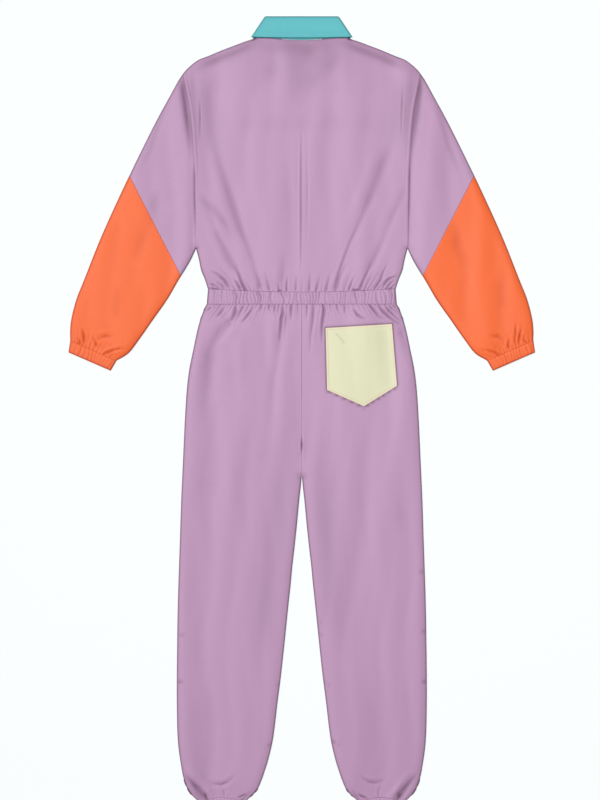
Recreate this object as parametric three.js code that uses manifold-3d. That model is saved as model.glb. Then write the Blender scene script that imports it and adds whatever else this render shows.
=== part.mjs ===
import * as THREE from 'three';
import Module from 'manifold-3d';
import { mergeVertices } from 'three/addons/utils/BufferGeometryUtils.js';

// A long-sleeved jumpsuit laid flat on its front, back upwards, head towards +Y, in millimetres.
// x = 0 is the centre back and z = 0 the surface. Outline tables give one half; the other mirrors it.

const wasm = await Module();
wasm.setup();

const table = (columns, rows) => rows.map((row) => (
  Object.fromEntries(columns.map((name, index) => [name, row[index]]))
));

// Layers
const cloth = 1.5;            // wall of one layer, with its seam allowances
const seamGap = 0.3;          // clear space between sewn pieces
const inset = seamGap / 2;    // what each piece gives up at a seam
const layer = cloth + seamGap;

// Loft of the back layer over the front layer
const loft = { height: 4.4, edgeRound: 14, atSeam: 0.1, cinch: 0.45, cinchReach: 24 };

// The front's neck is lifted by the collar leaves that lie under it
const leafLift = { height: layer, fullX: 105, endX: 185, fullY: 612, endY: 548 };

// Neck and collar
const neck = { half: 96.6, backY: 714.6, sideY: 717.4, frontY: 655 };
const collar = {
  rollHalf: 71, rollY: 762.6, freeHalf: 95.5, freeY: 720.8, roll: 0.6,
  frontRollY: 693, pointX: 60, pointY: 622, frontPower: 1.7,
};

// Waist casing, with its upper edge bowed down at the centre
const casing = {
  topHalf: 180, bottomHalf: 182.5, topMidY: 234, topSideY: 240.5, bottomY: 210.4,
  ruches: 30, ruche: 0.8, crown: 0.7, innerZ: 2.9,
};

// Zip at the centre front, and where it ends below the waist
const zip = { half: 6, bottomY: 27, slider: { half: 4.6, length: 21, y: 630, thick: cloth } };

// Legs
const crotchY = -127;
const ankle = { centreX: 152.4, half: 44.1, sideY: -746, bow: 10.6, hemY: -764.2, gathers: 10 };

// Gathers sewn into the seams beside the elastics
const gathers = {
  waistPerHalf: 12, bodice: 1.1, trouser: 1.2, waistFade: 17, waistReach: 44,
  wristCount: 8, wrist: 1.1, wristFade: 18, ankleHeight: 1.2, ankleFade: 18,
};
const samplesPerGather = 3;

const shoulderEdge = table(['x', 'y'], [
  [96.6, 717.4], [107, 715.3], [122.5, 709.5], [153, 698.1], [180, 686.8], [199.5, 679],
  [222, 660.5], [228, 653],
]);
const sleeveOuterEdge = table(['x', 'y'], [
  [228, 653], [236, 641], [257, 603], [278, 564.5], [316.5, 487.5], [353, 411], [387.5, 334],
  [418, 257], [433, 219], [442.6, 180.5], [444.6, 160], [444.4, 141.2],
]);
const sleeveInnerEdge = table(['x', 'y'], [
  [203, 317], [212.7, 296], [224, 276.5], [236, 257.5], [258.5, 219], [285.5, 180.5],
  [312.5, 142], [333, 116], [355.6, 102.1],
]);
const armholeSeam = table(['x', 'y'], [
  [203, 317], [205, 411], [206.5, 474], [208, 509], [214.7, 583.7], [226.2, 639.4], [228, 653],
]);
const sideSeam = table(['x', 'y'], [
  [203, 317], [197.4, 295.7], [193.5, 276.5], [186, 257.5], [180.5, 240.5],
]);
const legOuterEdge = table(['y', 'x'], [
  [210.4, 184], [199.7, 189.5], [161.3, 200.8], [122.9, 208.5], [84.5, 216.2], [46, 220.8],
  [-11.5, 224.5], [-88, 228], [-165, 231.5], [-242, 234], [-357, 237.8], [-434, 239.2],
  [-549, 240], [-626, 238], [-664, 233.5], [-703, 225.8], [-722, 218], [-731.5, 211],
  [-739, 203], [-746, 196.5],
]);
const legInnerEdge = table(['y', 'x'], [
  [crotchY, 0.15], [-140, 1.7], [-150, 3], [-165, 4.8], [-195, 7.6], [-223, 10.3], [-261, 14.4],
  [-290, 17.8], [-328, 21.4], [-367, 25.6], [-443, 33.4], [-511, 40.9], [-549, 45.9], [-626, 55.6],
  [-664, 64.4], [-683, 70.3], [-703, 77.2], [-722, 86.1], [-731.5, 94.8], [-739, 103.5],
  [-746, 108.3],
]);

// The lower sleeve is sewn on along a slanted line: how far along each edge it meets
const colourSeam = { outer: 0.395, inner: 0.225 };
// The cuff's hem corners, outer and inner
const cuffHem = { outer: { x: 447.9, y: 118.3 }, inner: { x: 366.7, y: 82.9 } };
const wristCuff = { ruches: 8, ruche: 0.7, innerZ: 2.7 };
const ankleCuff = { ruches: 10, ruche: 0.8, innerZ: 2.8 };

const pocketCorners = table(['x', 'y'], [
  [45.5, 165], [173, 172.8], [182.8, 53.8], [119.4, 14.4], [48.4, 46],
]);

// Largest folds, as soft troughs that start deep at the elastic and fade along their way
const folds = table(['depth', 'width', 'way'], [
  [2.4, 9, [[-107.7, 238], [-136, 288], [-159, 334], [-193, 426]]],
  [1.6, 8, [[-137, 244], [-176, 275]]],
  [1.8, 14, [[-76, 244], [-128, 361], [-149, 461]]],
  [1.4, 9, [[-45.7, 251], [-67, 338]]],
  [-1.6, 10, [[0, 270], [0, 549]]],
  [2.2, 12, [[65.7, 240], [90.6, 317], [121, 399], [150, 459]]],
  [2.0, 10, [[115.6, 248], [135.7, 292], [169, 355]]],
  [1.6, 8, [[146, 244], [173, 272]]],
  [2.6, 10, [[-130, 198], [-141.7, 176.6], [-172, 127], [-195, 27]]],
  [2.2, 9, [[-37, 209], [-37, 173], [-48.6, 98]]],
  [2.0, 9, [[38, 209], [39, 163], [37, 117]]],
  [2.0, 8, [[148, 209], [179, 175], [203, 140]]],
  [1.6, 12, [[-212, -690], [-178, -745]]],
  [1.6, 12, [[212, -690], [178, -745]]],
  [1.3, 14, [[30, 690], [70, 600], [90, 500]]],
]);

const clamp = (value, low, high) => Math.min(Math.max(value, low), high);
const mix = (a, b, t) => a + (b - a) * t;
const mixPoint = (a, b, t) => ({ x: mix(a.x, b.x, t), y: mix(a.y, b.y, t) });
const smooth = (t) => t * t * (3 - 2 * t);
const ramp = (value, from, to) => smooth(clamp((value - from) / (to - from), 0, 1));

// Smooth curve through a table's points, read by the fraction of its length
function curveThrough(points) {
  const vectors = points.map((p) => new THREE.Vector3(p.x, p.y, 0));
  const curve = new THREE.CatmullRomCurve3(vectors, false, 'centripetal');
  curve.arcLengthDivisions = 400;
  return (t) => {
    const p = curve.getPointAt(clamp(t, 0, 1));
    return { x: p.x, y: p.y };
  };
}

// Straight stretches between a curve's points at the given stops, so that both sides of a seam agree
function brokenLine(curve, stops) {
  const points = stops.map(curve);
  return (t) => {
    let index = 1;
    while (index < stops.length - 1 && t > stops[index]) index += 1;
    return mixPoint(points[index - 1], points[index],
      (t - stops[index - 1]) / (stops[index] - stops[index - 1]));
  };
}

// One column of a table as a function of another, straight between its rows
function reading(rows, from, to) {
  const rising = rows[0][from] < rows.at(-1)[from];
  const sorted = rising ? rows : [...rows].reverse();
  return (value) => {
    let index = 1;
    while (index < sorted.length - 1 && value > sorted[index][from]) index += 1;
    const a = sorted[index - 1];
    const b = sorted[index];
    return mix(a[to], b[to], (value - a[from]) / (b[from] - a[from]));
  };
}

const armholeStops = [0, 0.02, 0.06, 0.14, 0.24, 0.34, 0.45, 0.56, 0.67, 0.78, 0.87, 0.94, 0.98, 1];
const armhole = brokenLine(curveThrough(armholeSeam), armholeStops);
const sideEdge = curveThrough(sideSeam);
const outerSleeve = curveThrough(sleeveOuterEdge);
const innerSleeve = curveThrough(sleeveInnerEdge);
const shoulderY = reading(shoulderEdge, 'x', 'y');
const legOuterX = reading(legOuterEdge, 'y', 'x');
const legInnerX = reading(legInnerEdge, 'y', 'x');

const waistSeamY = (x) => mix(casing.topMidY, casing.topSideY, (x / casing.topHalf) ** 2);
const neckStops = [0, 13, 27, 41, 55, 69, 83, 90, neck.half];
const neckCurve = (lowY, x) => mix(lowY, neck.sideY, (Math.abs(x) / neck.half) ** 2);
function neckY(lowY, x) {
  const rows = neckStops.map((stop) => ({ x: stop, y: neckCurve(lowY, stop) }));
  return reading(rows, 'x', 'y')(Math.abs(x));
}

// The garment's outline on one half, without the centre line: what the cloth rounds down to
function outlineSegments() {
  const fractions = Array.from({ length: 41 }, (_, index) => index / 40);
  const ways = [
    neckStops.map((x) => ({ x, y: neckCurve(neck.backY, x) })),
    shoulderEdge,
    fractions.map(outerSleeve),
    fractions.map(innerSleeve),
    fractions.map(sideEdge),
    legOuterEdge,
    legInnerEdge,
  ];
  return ways.flatMap((way) => way.slice(1).map((end, index) => [way[index], end]));
}
const outline = outlineSegments();

function segmentDistance(x, y, a, b) {
  const dx = b.x - a.x;
  const dy = b.y - a.y;
  const t = clamp(((x - a.x) * dx + (y - a.y) * dy) / (dx * dx + dy * dy), 0, 1);
  return { distance: Math.hypot(x - a.x - t * dx, y - a.y - t * dy), t };
}

const edgeDistance = (x, y) => Math.min(
  ...outline.map(([a, b]) => segmentDistance(Math.abs(x), y, a, b).distance),
);

// Troughs and their soft lips; each fades from its first point to its last
function foldHeight(x, y) {
  let height = 0;
  for (const { depth, width, way } of folds) {
    let best = { distance: Infinity, along: 0 };
    for (let index = 1; index < way.length; index += 1) {
      const [a, b] = [way[index - 1], way[index]].map(([px, py]) => ({ x: px, y: py }));
      const { distance, t } = segmentDistance(x, y, a, b);
      if (distance < best.distance) best = { distance, along: (index - 1 + t) / (way.length - 1) };
    }
    const fade = (1 - best.along) ** 0.7;
    const trough = Math.exp(-((best.distance / width) ** 2));
    const lip = 0.4 * Math.exp(-(((best.distance - 1.8 * width) / width) ** 2));
    height += depth * fade * (lip - trough);
  }
  return height;
}

// Underside of the front layer: the surface itself, or the collar leaves under the neck
function frontBase(x, y) {
  return leafLift.height * ramp(y, leafLift.endY, leafLift.fullY)
    * ramp(-Math.abs(x), -leafLift.endX, -leafLift.fullX);
}

// Underside of the back layer: rounded down to the front layer at the outline, drawn in at the waist
function backBase(x, y, extra = 0) {
  const s = clamp(edgeDistance(x, y) / loft.edgeRound, 0, 1);
  const round = Math.sqrt(s * (2 - s));
  const waistDistance = y > casing.topMidY ? y - casing.topMidY : casing.bottomY - y;
  const cinch = 1 - loft.cinch * Math.exp(-((waistDistance / loft.cinchReach) ** 2));
  const room = loft.height * cinch + foldHeight(x, y) + extra;
  return frontBase(x, y) + layer + loft.atSeam + round * Math.max(room, 0.4);
}

// Uneven wave with count crests over the fraction u
const wave = (count, u, seed) => (
  Math.cos(2 * Math.PI * (count * u + 0.2 * Math.sin(7 * u + seed)))
  * (0.78 + 0.22 * Math.sin(13 * u + 2 * seed))
);

// A closed wall between rows of outer points and rows of inner points. Neighbouring rows are laced
// by their running fraction s, so they may differ in number. A closed row returns to its start.
function wallGeometry(outerRows, innerRows, closed = false) {
  const positions = [];
  const faces = [];
  const numbered = (rows) => rows.map((row) => {
    const line = row.map((p) => {
      positions.push(p.x, p.y, p.z);
      return { id: positions.length / 3 - 1, s: p.s };
    });
    if (closed) line.push({ id: line[0].id, s: 1 });
    return line;
  });
  const lace = (a, b, turned = false) => {
    let i = 0;
    let j = 0;
    while (i < a.length - 1 || j < b.length - 1) {
      const stepA = j === b.length - 1 || (i < a.length - 1 && a[i + 1].s <= b[j + 1].s);
      const third = stepA ? a[i + 1].id : b[j + 1].id;
      faces.push(turned ? [a[i].id, b[j].id, third] : [a[i].id, third, b[j].id]);
      if (stepA) i += 1;
      else j += 1;
    }
  };
  const column = (rows, at) => rows.map((row, index) => (
    { id: row.at(at).id, s: index / (rows.length - 1) }
  ));
  const outer = numbered(outerRows);
  const inner = numbered(innerRows);
  outer.slice(1).forEach((row, index) => lace(outer[index], row));
  inner.slice(1).forEach((row, index) => lace(inner[index], row, true));
  lace(inner[0], outer[0]);
  lace(outer.at(-1), inner.at(-1));
  if (!closed) {
    lace(column(outer, 0), column(inner, 0));
    lace(column(inner, -1), column(outer, -1));
  }
  return facingOut(positions, faces);
}

// The mesh with its faces turned outwards
function facingOut(positions, faces) {
  const corner = (id) => new THREE.Vector3().fromArray(positions, 3 * id);
  const volume = faces.reduce((sum, [a, b, c]) => (
    sum + corner(a).dot(corner(b).cross(corner(c)))
  ), 0);
  const index = faces.flatMap(([a, b, c]) => (volume < 0 ? [a, c, b] : [a, b, c]));
  const geometry = new THREE.BufferGeometry();
  geometry.setAttribute('position', new THREE.Float32BufferAttribute(positions, 3));
  geometry.setIndex(index);
  return geometry;
}

// Four-sided patch blended from its edges: start and end by u, low and high by v
function coonsPatch(start, end, low, high) {
  const [p00, p10, p01, p11] = [start(0), start(1), end(0), end(1)];
  const blend = (axis, u, v, a, b, c, d) => (
    mix(a[axis], b[axis], v) + mix(c[axis], d[axis], u)
    - mix(mix(p00[axis], p10[axis], u), mix(p01[axis], p11[axis], u), v)
  );
  return (u, v) => {
    const edges = [start(u), end(u), low(v), high(v)];
    return { x: blend('x', u, v, ...edges), y: blend('y', u, v, ...edges) };
  };
}

const even = (count) => Array.from({ length: count + 1 }, (_, index) => index / count);
// Even fractions, with those near the edges given over to the edge's own ones
function columns(count, edge) {
  const near = 1.4 * edge.at(-1);
  const inner = even(count).filter((u) => u > near && u < 1 - near);
  return [0, ...edge, ...inner, ...edge.map((u) => 1 - u).reverse(), 1];
}

// Rows of a sheet: each row is { v, stops }, and place gives x, y and both faces' z
function sheet(rows, place) {
  const outer = rows.map(({ v, stops }) => stops.map((u) => {
    const p = place(u, v);
    return { x: p.x, y: p.y, z: p.z + cloth, s: u };
  }));
  const inner = rows.map(({ v, stops }) => stops.map((u) => ({ ...place(u, v), s: u })));
  return wallGeometry(outer, inner);
}

// The half bodice as a patch: u from the centre to the armhole and side, v from the neck to the waist
const underarmV = 0.8;
function bodicePatch(startX, neckLowY) {
  const topY = (x) => (x < neck.half ? neckY(neckLowY, x) : shoulderY(x));
  const armX = shoulderEdge.at(-1).x;
  const top = (u) => ({ x: mix(startX, armX, u), y: topY(mix(startX, armX, u)) });
  const bottom = (u) => {
    const x = mix(startX, sideSeam.at(-1).x, u);
    return { x, y: waistSeamY(x) };
  };
  const centre = (v) => ({ x: startX, y: mix(topY(startX), waistSeamY(startX), v) });
  const side = (v) => (v <= underarmV ? armhole(1 - v / underarmV)
    : sideEdge((v - underarmV) / (1 - underarmV)));
  return coonsPatch(top, bottom, centre, side);
}

// Columns at the neck and shoulder, where front and back panels share their places
const shoulderColumns = (startX) => [...neckStops, 112, 130, 148, 166, 182, 198, 214, 223, 228]
  .filter((x) => x > startX)
  .map((x) => (x - startX) / (shoulderEdge.at(-1).x - startX));

const bodiceArmRows = [...armholeStops].reverse().map((stop) => (1 - stop) * underarmV);
const sideRows = [0.84, 0.88, 0.915, 0.945];
const gatherRows = [0.97, 0.985, 1];

// Keeps a fraction clear of both ends of a stretch of this length
const clear = (t, length) => mix(inset / length, 1 - inset / length, t);

function backBodice() {
  const patch = bodicePatch(0, neck.backY);
  const both = (half) => [...half.filter((u) => u > 0).reverse().map((u) => -u), ...half];
  const bodiceColumns = (count) => both([...even(count).filter((u) => u < 0.93), 0.95, 0.98, 1]);
  const place = (u, v) => {
    const p = patch(clear(Math.abs(u), 205), clear(v, 480));
    const x = u === 0 ? 0 : Math.sign(u) * p.x;
    const distance = p.y - waistSeamY(p.x);
    const gather = gathers.bodice * Math.exp(-distance / gathers.waistFade)
      * wave(gathers.waistPerHalf, u, 1.3);
    return { x, y: p.y, z: backBase(x, p.y, distance < gathers.waistReach ? gather : 0) };
  };
  const shoulders = both([0, ...shoulderColumns(0)]);
  const upper = bodiceColumns(11);
  const lower = bodiceColumns(15);
  const gathered = both(even(gathers.waistPerHalf * samplesPerGather));
  const rows = [
    ...bodiceArmRows.map((v, index) => ({ v, stops: index < 3 ? shoulders : upper })),
    ...sideRows.map((v) => ({ v, stops: lower })),
    ...gatherRows.map((v) => ({ v, stops: gathered })),
  ];
  return sheet(rows, place);
}

function frontBodice(side) {
  const startX = zip.half + seamGap;
  const patch = bodicePatch(startX, neck.frontY);
  const place = (u, v) => {
    const p = patch(clear(u, 200), clear(v, 440));
    return { x: side * p.x, y: p.y, z: frontBase(p.x, p.y) };
  };
  const shoulders = [0, ...shoulderColumns(startX)];
  const rows = [...bodiceArmRows, ...sideRows, 1].map((v) => (
    { v, stops: v < 0.35 ? shoulders : even(v > 0.9 ? 8 : 2) }
  ));
  return sheet(rows, place);
}

// Trouser panels: rows of constant height, bowed near the ankle
const trouserRows = [
  210.4, 201, 188, 168, 140, 110, 75, 35, -10, -60, -100, crotchY, -140, -165, -215, -270, -330, -395,
  -460, -530, -600, -650, -690, -715, -731, -746,
];
function trouserPoint(u, rowY, centreX) {
  const low = rowY > crotchY ? centreX : Math.max(legInnerX(rowY), centreX);
  const bow = clamp((rowY + 700) / (ankle.sideY + 700), 0, 1) ** 2;
  const top = inset * ramp(rowY, 200, 210.4);
  const hem = inset * ramp(-rowY, 735, 746);
  return {
    x: mix(low, legOuterX(rowY), u),
    y: rowY + bow * ankle.bow * 4 * u * (1 - u) - top + hem,
  };
}

function trouserBack(side) {
  const place = (u, rowY) => {
    const p = trouserPoint(u, rowY, inset);
    const fromWaist = casing.bottomY - rowY;
    const fromAnkle = rowY - ankle.sideY;
    const waist = fromWaist < gathers.waistReach ? gathers.trouser
      * Math.exp(-fromWaist / gathers.waistFade) * wave(gathers.waistPerHalf, u, 2 + side) : 0;
    const hem = fromAnkle < gathers.waistReach ? gathers.ankleHeight
      * Math.exp(-fromAnkle / gathers.ankleFade) * wave(ankle.gathers, u, 3 + side) : 0;
    return { x: side * p.x, y: p.y, z: backBase(side * p.x, p.y, waist + hem) };
  };
  const rows = trouserRows.map((v) => {
    if (v > 185) return { v, stops: even(gathers.waistPerHalf * samplesPerGather) };
    if (v < -728) return { v, stops: even(ankle.gathers * samplesPerGather) };
    return { v, stops: columns(v > 60 ? 12 : 8, [0.025, 0.07]) };
  });
  return sheet(rows, place);
}

function trouserFront(side) {
  const place = (u, rowY) => {
    const centreX = rowY > zip.bottomY ? zip.half + seamGap : inset;
    const p = trouserPoint(u, rowY, centreX);
    return { x: side * p.x, y: p.y, z: 0 };
  };
  const zipEnd = [zip.bottomY + 0.01, zip.bottomY - seamGap];
  const rows = [...trouserRows, ...zipEnd].sort((a, b) => b - a).map((v) => (
    { v, stops: even(v < -714 ? 12 : 1) }
  ));
  return sheet(rows, place);
}

// A flattened tube: each ring goes over the back layer and returns along the flat front layer
function flatTube(rings, place, upperZ) {
  const ring = (inner) => rings.map(({ v, over, under }) => {
    const width = Math.hypot(place(1, v).x - place(0, v).x, place(1, v).y - place(0, v).y);
    const edge = inner ? cloth / width : 0;
    const point = (u, z, s) => ({ ...place(mix(edge, 1 - edge, u), v), z, s });
    const above = over.map((u) => {
      const p = place(u, v);
      const atEdge = u === 0 || u === 1;
      const roof = inner && atEdge ? layer : upperZ(p.x, p.y, u, v) + (inner ? 0 : cloth);
      return point(u, roof, 0.49 * u);
    });
    const below = [...under].reverse().map((u) => point(u, inner ? cloth : 0, 0.5 + 0.49 * (1 - u)));
    return [...above, ...below];
  });
  return wallGeometry(ring(false), ring(true), true);
}

const seamEnds = { inner: innerSleeve(colourSeam.inner), outer: outerSleeve(colourSeam.outer) };
const slantSeam = (w) => mixPoint(seamEnds.inner, seamEnds.outer, w);
const wristSeam = (w) => mixPoint(innerSleeve(1), outerSleeve(1), w);

// Upper sleeve: w runs from the underarm to the shoulder, v from the armhole to the slanted seam
function sleeveUpper(side) {
  const patch = coonsPatch(armhole, slantSeam,
    (v) => innerSleeve(v * colourSeam.inner), (v) => outerSleeve(v * colourSeam.outer));
  const place = (u, v) => {
    const p = patch(u, clear(v, 140));
    return { x: side * p.x, y: p.y };
  };
  const rings = [0, 0.2, 0.45, 0.72, 1].map((v) => (
    { v, over: armholeStops, under: v === 0 ? armholeStops : even(6) }
  ));
  return flatTube(rings, place, (x, y) => backBase(x, y));
}

// Lower sleeve: v from the slanted seam to the cuff, where it is gathered
function sleeveLower(side) {
  const patch = coonsPatch(slantSeam, wristSeam,
    (v) => innerSleeve(mix(colourSeam.inner, 1, v)), (v) => outerSleeve(mix(colourSeam.outer, 1, v)));
  const length = 270;
  const place = (u, v) => {
    const p = patch(u, clear(v, length));
    return { x: side * p.x, y: p.y };
  };
  const upperZ = (x, y, u, v) => {
    const distance = (1 - v) * length;
    const drawn = 1 - 0.5 * Math.exp(-((distance / loft.cinchReach) ** 2));
    const gather = gathers.wrist * Math.exp(-distance / gathers.wristFade)
      * wave(gathers.wristCount, u, 4 + side);
    const full = backBase(x, y, distance < gathers.waistReach ? gather : 0);
    return mix(layer + loft.atSeam, full, drawn);
  };
  const gathered = even(gathers.wristCount * samplesPerGather);
  const rings = [0, 0.18, 0.38, 0.58, 0.76, 0.88, 0.95, 1].map((v) => (
    { v, over: v > 0.9 ? gathered : columns(9, [0.03, 0.08]), under: even(v > 0.9 ? 4 : 5) }
  ));
  return flatTube(rings, place, upperZ);
}

// Elasticated cuff: a short tube whose back layer stands in ruches
function cuffTube(place, { ruches, ruche, innerZ }, seed) {
  const upperZ = (x, y, u) => {
    const level = Math.sqrt(clamp(Math.min(u, 1 - u) * 14, 0, 1));
    return layer + 0.1 + level * (innerZ - layer + ruche * (wave(ruches, u, seed) - 0.2));
  };
  const rings = even(2).map((v) => (
    { v, over: even(ruches * samplesPerGather), under: even(12) }
  ));
  return flatTube(rings, place, upperZ);
}

function sleeveCuff(side) {
  const hem = (w) => mixPoint(cuffHem.inner, cuffHem.outer, w);
  const place = (u, v) => {
    const p = mixPoint(wristSeam(u), hem(u), mix(inset / 21, 1, v));
    return { x: side * p.x, y: p.y };
  };
  return cuffTube(place, wristCuff, 2 + side);
}

function ankleCuffTube(side) {
  const place = (u, v) => {
    const x = ankle.centreX + ankle.half * (2 * u - 1);
    const seamY = ankle.sideY + ankle.bow * 4 * u * (1 - u) - inset;
    return { x: side * x, y: mix(seamY, ankle.hemY, v) };
  };
  return cuffTube(place, ankleCuff, 5 + side);
}

// Waist casing: one long strip from the zip round a side, over the back and round to the zip again
function waistCasing() {
  const gap = zip.half + seamGap;
  const foldRadius = (casing.innerZ - cloth) / 2;
  const outerRadius = foldRadius + cloth;
  const backCount = casing.ruches * samplesPerGather;
  const turns = [-90, -45, 0, 45, 90].map((angle) => THREE.MathUtils.degToRad(angle));
  const half = (sign) => [
    ...[0, 0.2, 0.4, 0.6, 0.8].map((t) => ({ front: t, sign })),
    ...turns.map((angle) => ({ angle, sign })),
  ];
  const back = even(backCount).slice(1, -1).map((t) => ({ back: 1 - 2 * t }));
  const stations = [...half(1), ...back, ...half(-1).reverse()];
  const point = (station, t, outside, s) => {
    const width = mix(casing.topHalf, casing.bottomHalf, t) - outerRadius;
    const level = casing.innerZ + casing.crown * Math.sin(Math.PI * t);
    let x;
    let z;
    if (station.back !== undefined) {
      const near = clamp((1 - Math.abs(station.back)) * 12, 0, 1);
      x = station.back * width;
      z = mix(casing.innerZ, level + casing.ruche * wave(casing.ruches / 2, station.back, 0.7), near)
        + (outside ? cloth : 0);
    } else if (station.front !== undefined) {
      x = station.sign * mix(gap, width, station.front);
      z = outside ? 0 : cloth;
    } else {
      const radius = outside ? outerRadius : foldRadius;
      x = station.sign * (width + radius * Math.cos(station.angle));
      z = cloth + foldRadius + radius * Math.sin(station.angle);
    }
    const topY = waistSeamY(x) - inset;
    return { x, y: mix(topY, casing.bottomY + inset, t), z, s };
  };
  const rows = (outside) => even(3).map((t) => stations.map((station, index) => (
    point(station, t, outside, index / (stations.length - 1))
  )));
  return wallGeometry(rows(true), rows(false));
}

// Collar: a folded strip, stand inside and fall outside, from one front end round the neck to the
// other. The fall lies over the stand at the back, and under it at the front as two leaves.
function collarStrip() {
  const slot = seamGap;
  const outermost = 2 * cloth + slot;
  const turnX = outermost + seamGap;
  const middleZ = outermost + seamGap;
  const frontEnd = 0.075;
  const levels = {
    seam: (x, front) => ({
      half: neck.half - 0.6,
      y: neckY(front ? neck.frontY : neck.backY, x * neck.half) + seamGap,
    }),
    roll: (x, front) => ({
      half: collar.rollHalf,
      y: front ? mix(collar.frontRollY, collar.rollY, x ** collar.frontPower) : collar.rollY,
    }),
    free: (x, front) => {
      if (!front) return { half: collar.freeHalf, y: collar.freeY };
      const t = (x - frontEnd) / (1 - frontEnd);
      const flat = mix(collar.pointX, collar.freeHalf - turnX, t);
      return { half: flat / x + turnX, y: mix(collar.pointY, collar.freeY, t ** 1.3) };
    },
  };
  const frontStops = [frontEnd, 0.22, 0.36, 0.5, 0.64, 0.78, 0.9];
  const turns = [-90, -40, 0, 40, 90];
  const half = (sign) => [
    ...frontStops.map((x) => ({ x, sign, front: true, angle: -90 })),
    ...turns.map((angle) => ({ x: 1, sign, front: angle < 0, angle })),
  ];
  const back = even(12).slice(1, -1).map((t) => (
    { x: Math.abs(1 - 2 * t), sign: Math.sign(1 - 2 * t) || 1, front: false, angle: 90 }
  ));
  const stations = [...half(1), ...back, ...half(-1).reverse()];
  // A place on the strip: between two levels, moved back from the roll by some millimetres
  const point = (station, from, to, t, back, offset, s) => {
    const a = levels[from](station.x, station.front);
    const b = levels[to](station.x, station.front);
    const length = Math.hypot(a.half - b.half, a.y - b.y);
    const at = t + back / length;
    const flat = (mix(a.half, b.half, at) - turnX) * station.x;
    const angle = THREE.MathUtils.degToRad(station.angle);
    const reach = seamGap + offset;
    return {
      x: station.sign * (flat + reach * Math.cos(angle)),
      y: mix(a.y, b.y, at),
      z: middleZ + reach * Math.sin(angle),
      s,
    };
  };
  const row = (...at) => stations.map((station, index) => (
    point(station, ...at, index / (stations.length - 1))
  ));
  const outer = [
    row('seam', 'roll', 0, 0, 0),
    row('seam', 'roll', 0.5, 0, 0),
    row('seam', 'roll', 1, -collar.roll, 0),
    row('seam', 'roll', 1, 0, 0.8),
    row('roll', 'free', 0, 0, outermost - 0.8),
    row('roll', 'free', 0, collar.roll, outermost),
    row('roll', 'free', 0.5, 0, outermost),
    row('roll', 'free', 1, 0, outermost),
  ];
  const inner = [
    row('seam', 'roll', 0, 0, cloth),
    row('seam', 'roll', 0.5, 0, cloth),
    row('seam', 'roll', 1, -cloth, cloth),
    row('roll', 'free', 0, cloth, cloth + slot),
    row('roll', 'free', 0.5, 0, cloth + slot),
    row('roll', 'free', 1, 0, cloth + slot),
  ];
  return wallGeometry(outer, inner);
}

// Zip tape and chain up the centre front, following the lift at the neck
function frontZip() {
  const heights = [neck.frontY - inset, 612, 596, 580, 564, 548, zip.bottomY];
  const rows = heights.map((v) => ({ v, stops: [0, 1] }));
  return sheet(rows, (u, v) => ({ x: mix(-zip.half, zip.half, u), y: v, z: frontBase(0, v) }));
}

function zipSlider() {
  const { half, length, thick } = zip.slider;
  const shape = new THREE.Shape();
  shape.moveTo(-half * 0.6, 0);
  shape.lineTo(half * 0.6, 0);
  shape.lineTo(half, length * 0.55);
  shape.absarc(0, length - half, half, 0, Math.PI, false);
  shape.lineTo(-half, length * 0.55);
  shape.closePath();
  return new THREE.ExtrudeGeometry(shape, { depth: thick, bevelEnabled: false, curveSegments: 8 });
}

function solidOf(geometry) {
  const bare = geometry.clone();
  bare.deleteAttribute('normal');
  bare.deleteAttribute('uv');
  const merged = mergeVertices(bare, 1e-4);
  return new wasm.Manifold(new wasm.Mesh({
    numProp: 3,
    vertProperties: new Float32Array(merged.attributes.position.array),
    triVerts: new Uint32Array(merged.index.array),
  }));
}

function geometryOf(solid) {
  const mesh = solid.getMesh();
  const geometry = new THREE.BufferGeometry();
  geometry.setAttribute('position', new THREE.Float32BufferAttribute(mesh.vertProperties, 3));
  geometry.setIndex([...mesh.triVerts]);
  return geometry;
}

// Patch pocket: the trouser panel's own surface moved out by a layer, cut to the pocket's outline
function backPocket(panel) {
  const raised = panel.clone().translate(0, 0, layer);
  const shape = new THREE.Shape(pocketCorners.map((p) => new THREE.Vector2(p.x, p.y)));
  const block = new THREE.ExtrudeGeometry(shape, { depth: 40, bevelEnabled: false });
  return geometryOf(solidOf(raised).intersect(solidOf(block)));
}

const finish = (color, roughness) => (
  new THREE.MeshStandardMaterial({ color, roughness, metalness: 0, side: THREE.DoubleSide })
);
const lilac = () => finish(0xc29dbe, 0.6);
const orange = () => finish(0xff7648, 0.6);
const aqua = () => finish(0x64c8cb, 0.6);
const paleYellow = () => finish(0xe3e6be, 0.65);
const zipPlastic = () => finish(0xb394b2, 0.45);

const jumpsuit = new THREE.Group();
function add(name, geometry, material) {
  const mesh = new THREE.Mesh(geometry, material);
  mesh.name = name;
  jumpsuit.add(mesh);
  return mesh;
}

add('collar', collarStrip(), aqua());
add('back_bodice', backBodice(), lilac());
add('waist_casing', waistCasing(), lilac());
for (const [hand, side] of [['left', -1], ['right', 1]]) {
  add(`front_bodice_${hand}`, frontBodice(side), lilac());
  add(`sleeve_upper_${hand}`, sleeveUpper(side), lilac());
  add(`sleeve_lower_${hand}`, sleeveLower(side), orange());
  add(`sleeve_cuff_${hand}`, sleeveCuff(side), orange());
  add(`trouser_back_${hand}`, trouserBack(side), lilac());
  add(`trouser_front_${hand}`, trouserFront(side), lilac());
  add(`ankle_cuff_${hand}`, ankleCuffTube(side), lilac());
}
add('back_pocket', backPocket(trouserBack(1)), paleYellow());
add('front_zip', frontZip(), zipPlastic());
add('zip_slider', zipSlider(), zipPlastic()).position.set(0, zip.slider.y, 0);

export default jumpsuit;
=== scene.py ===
import math

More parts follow.
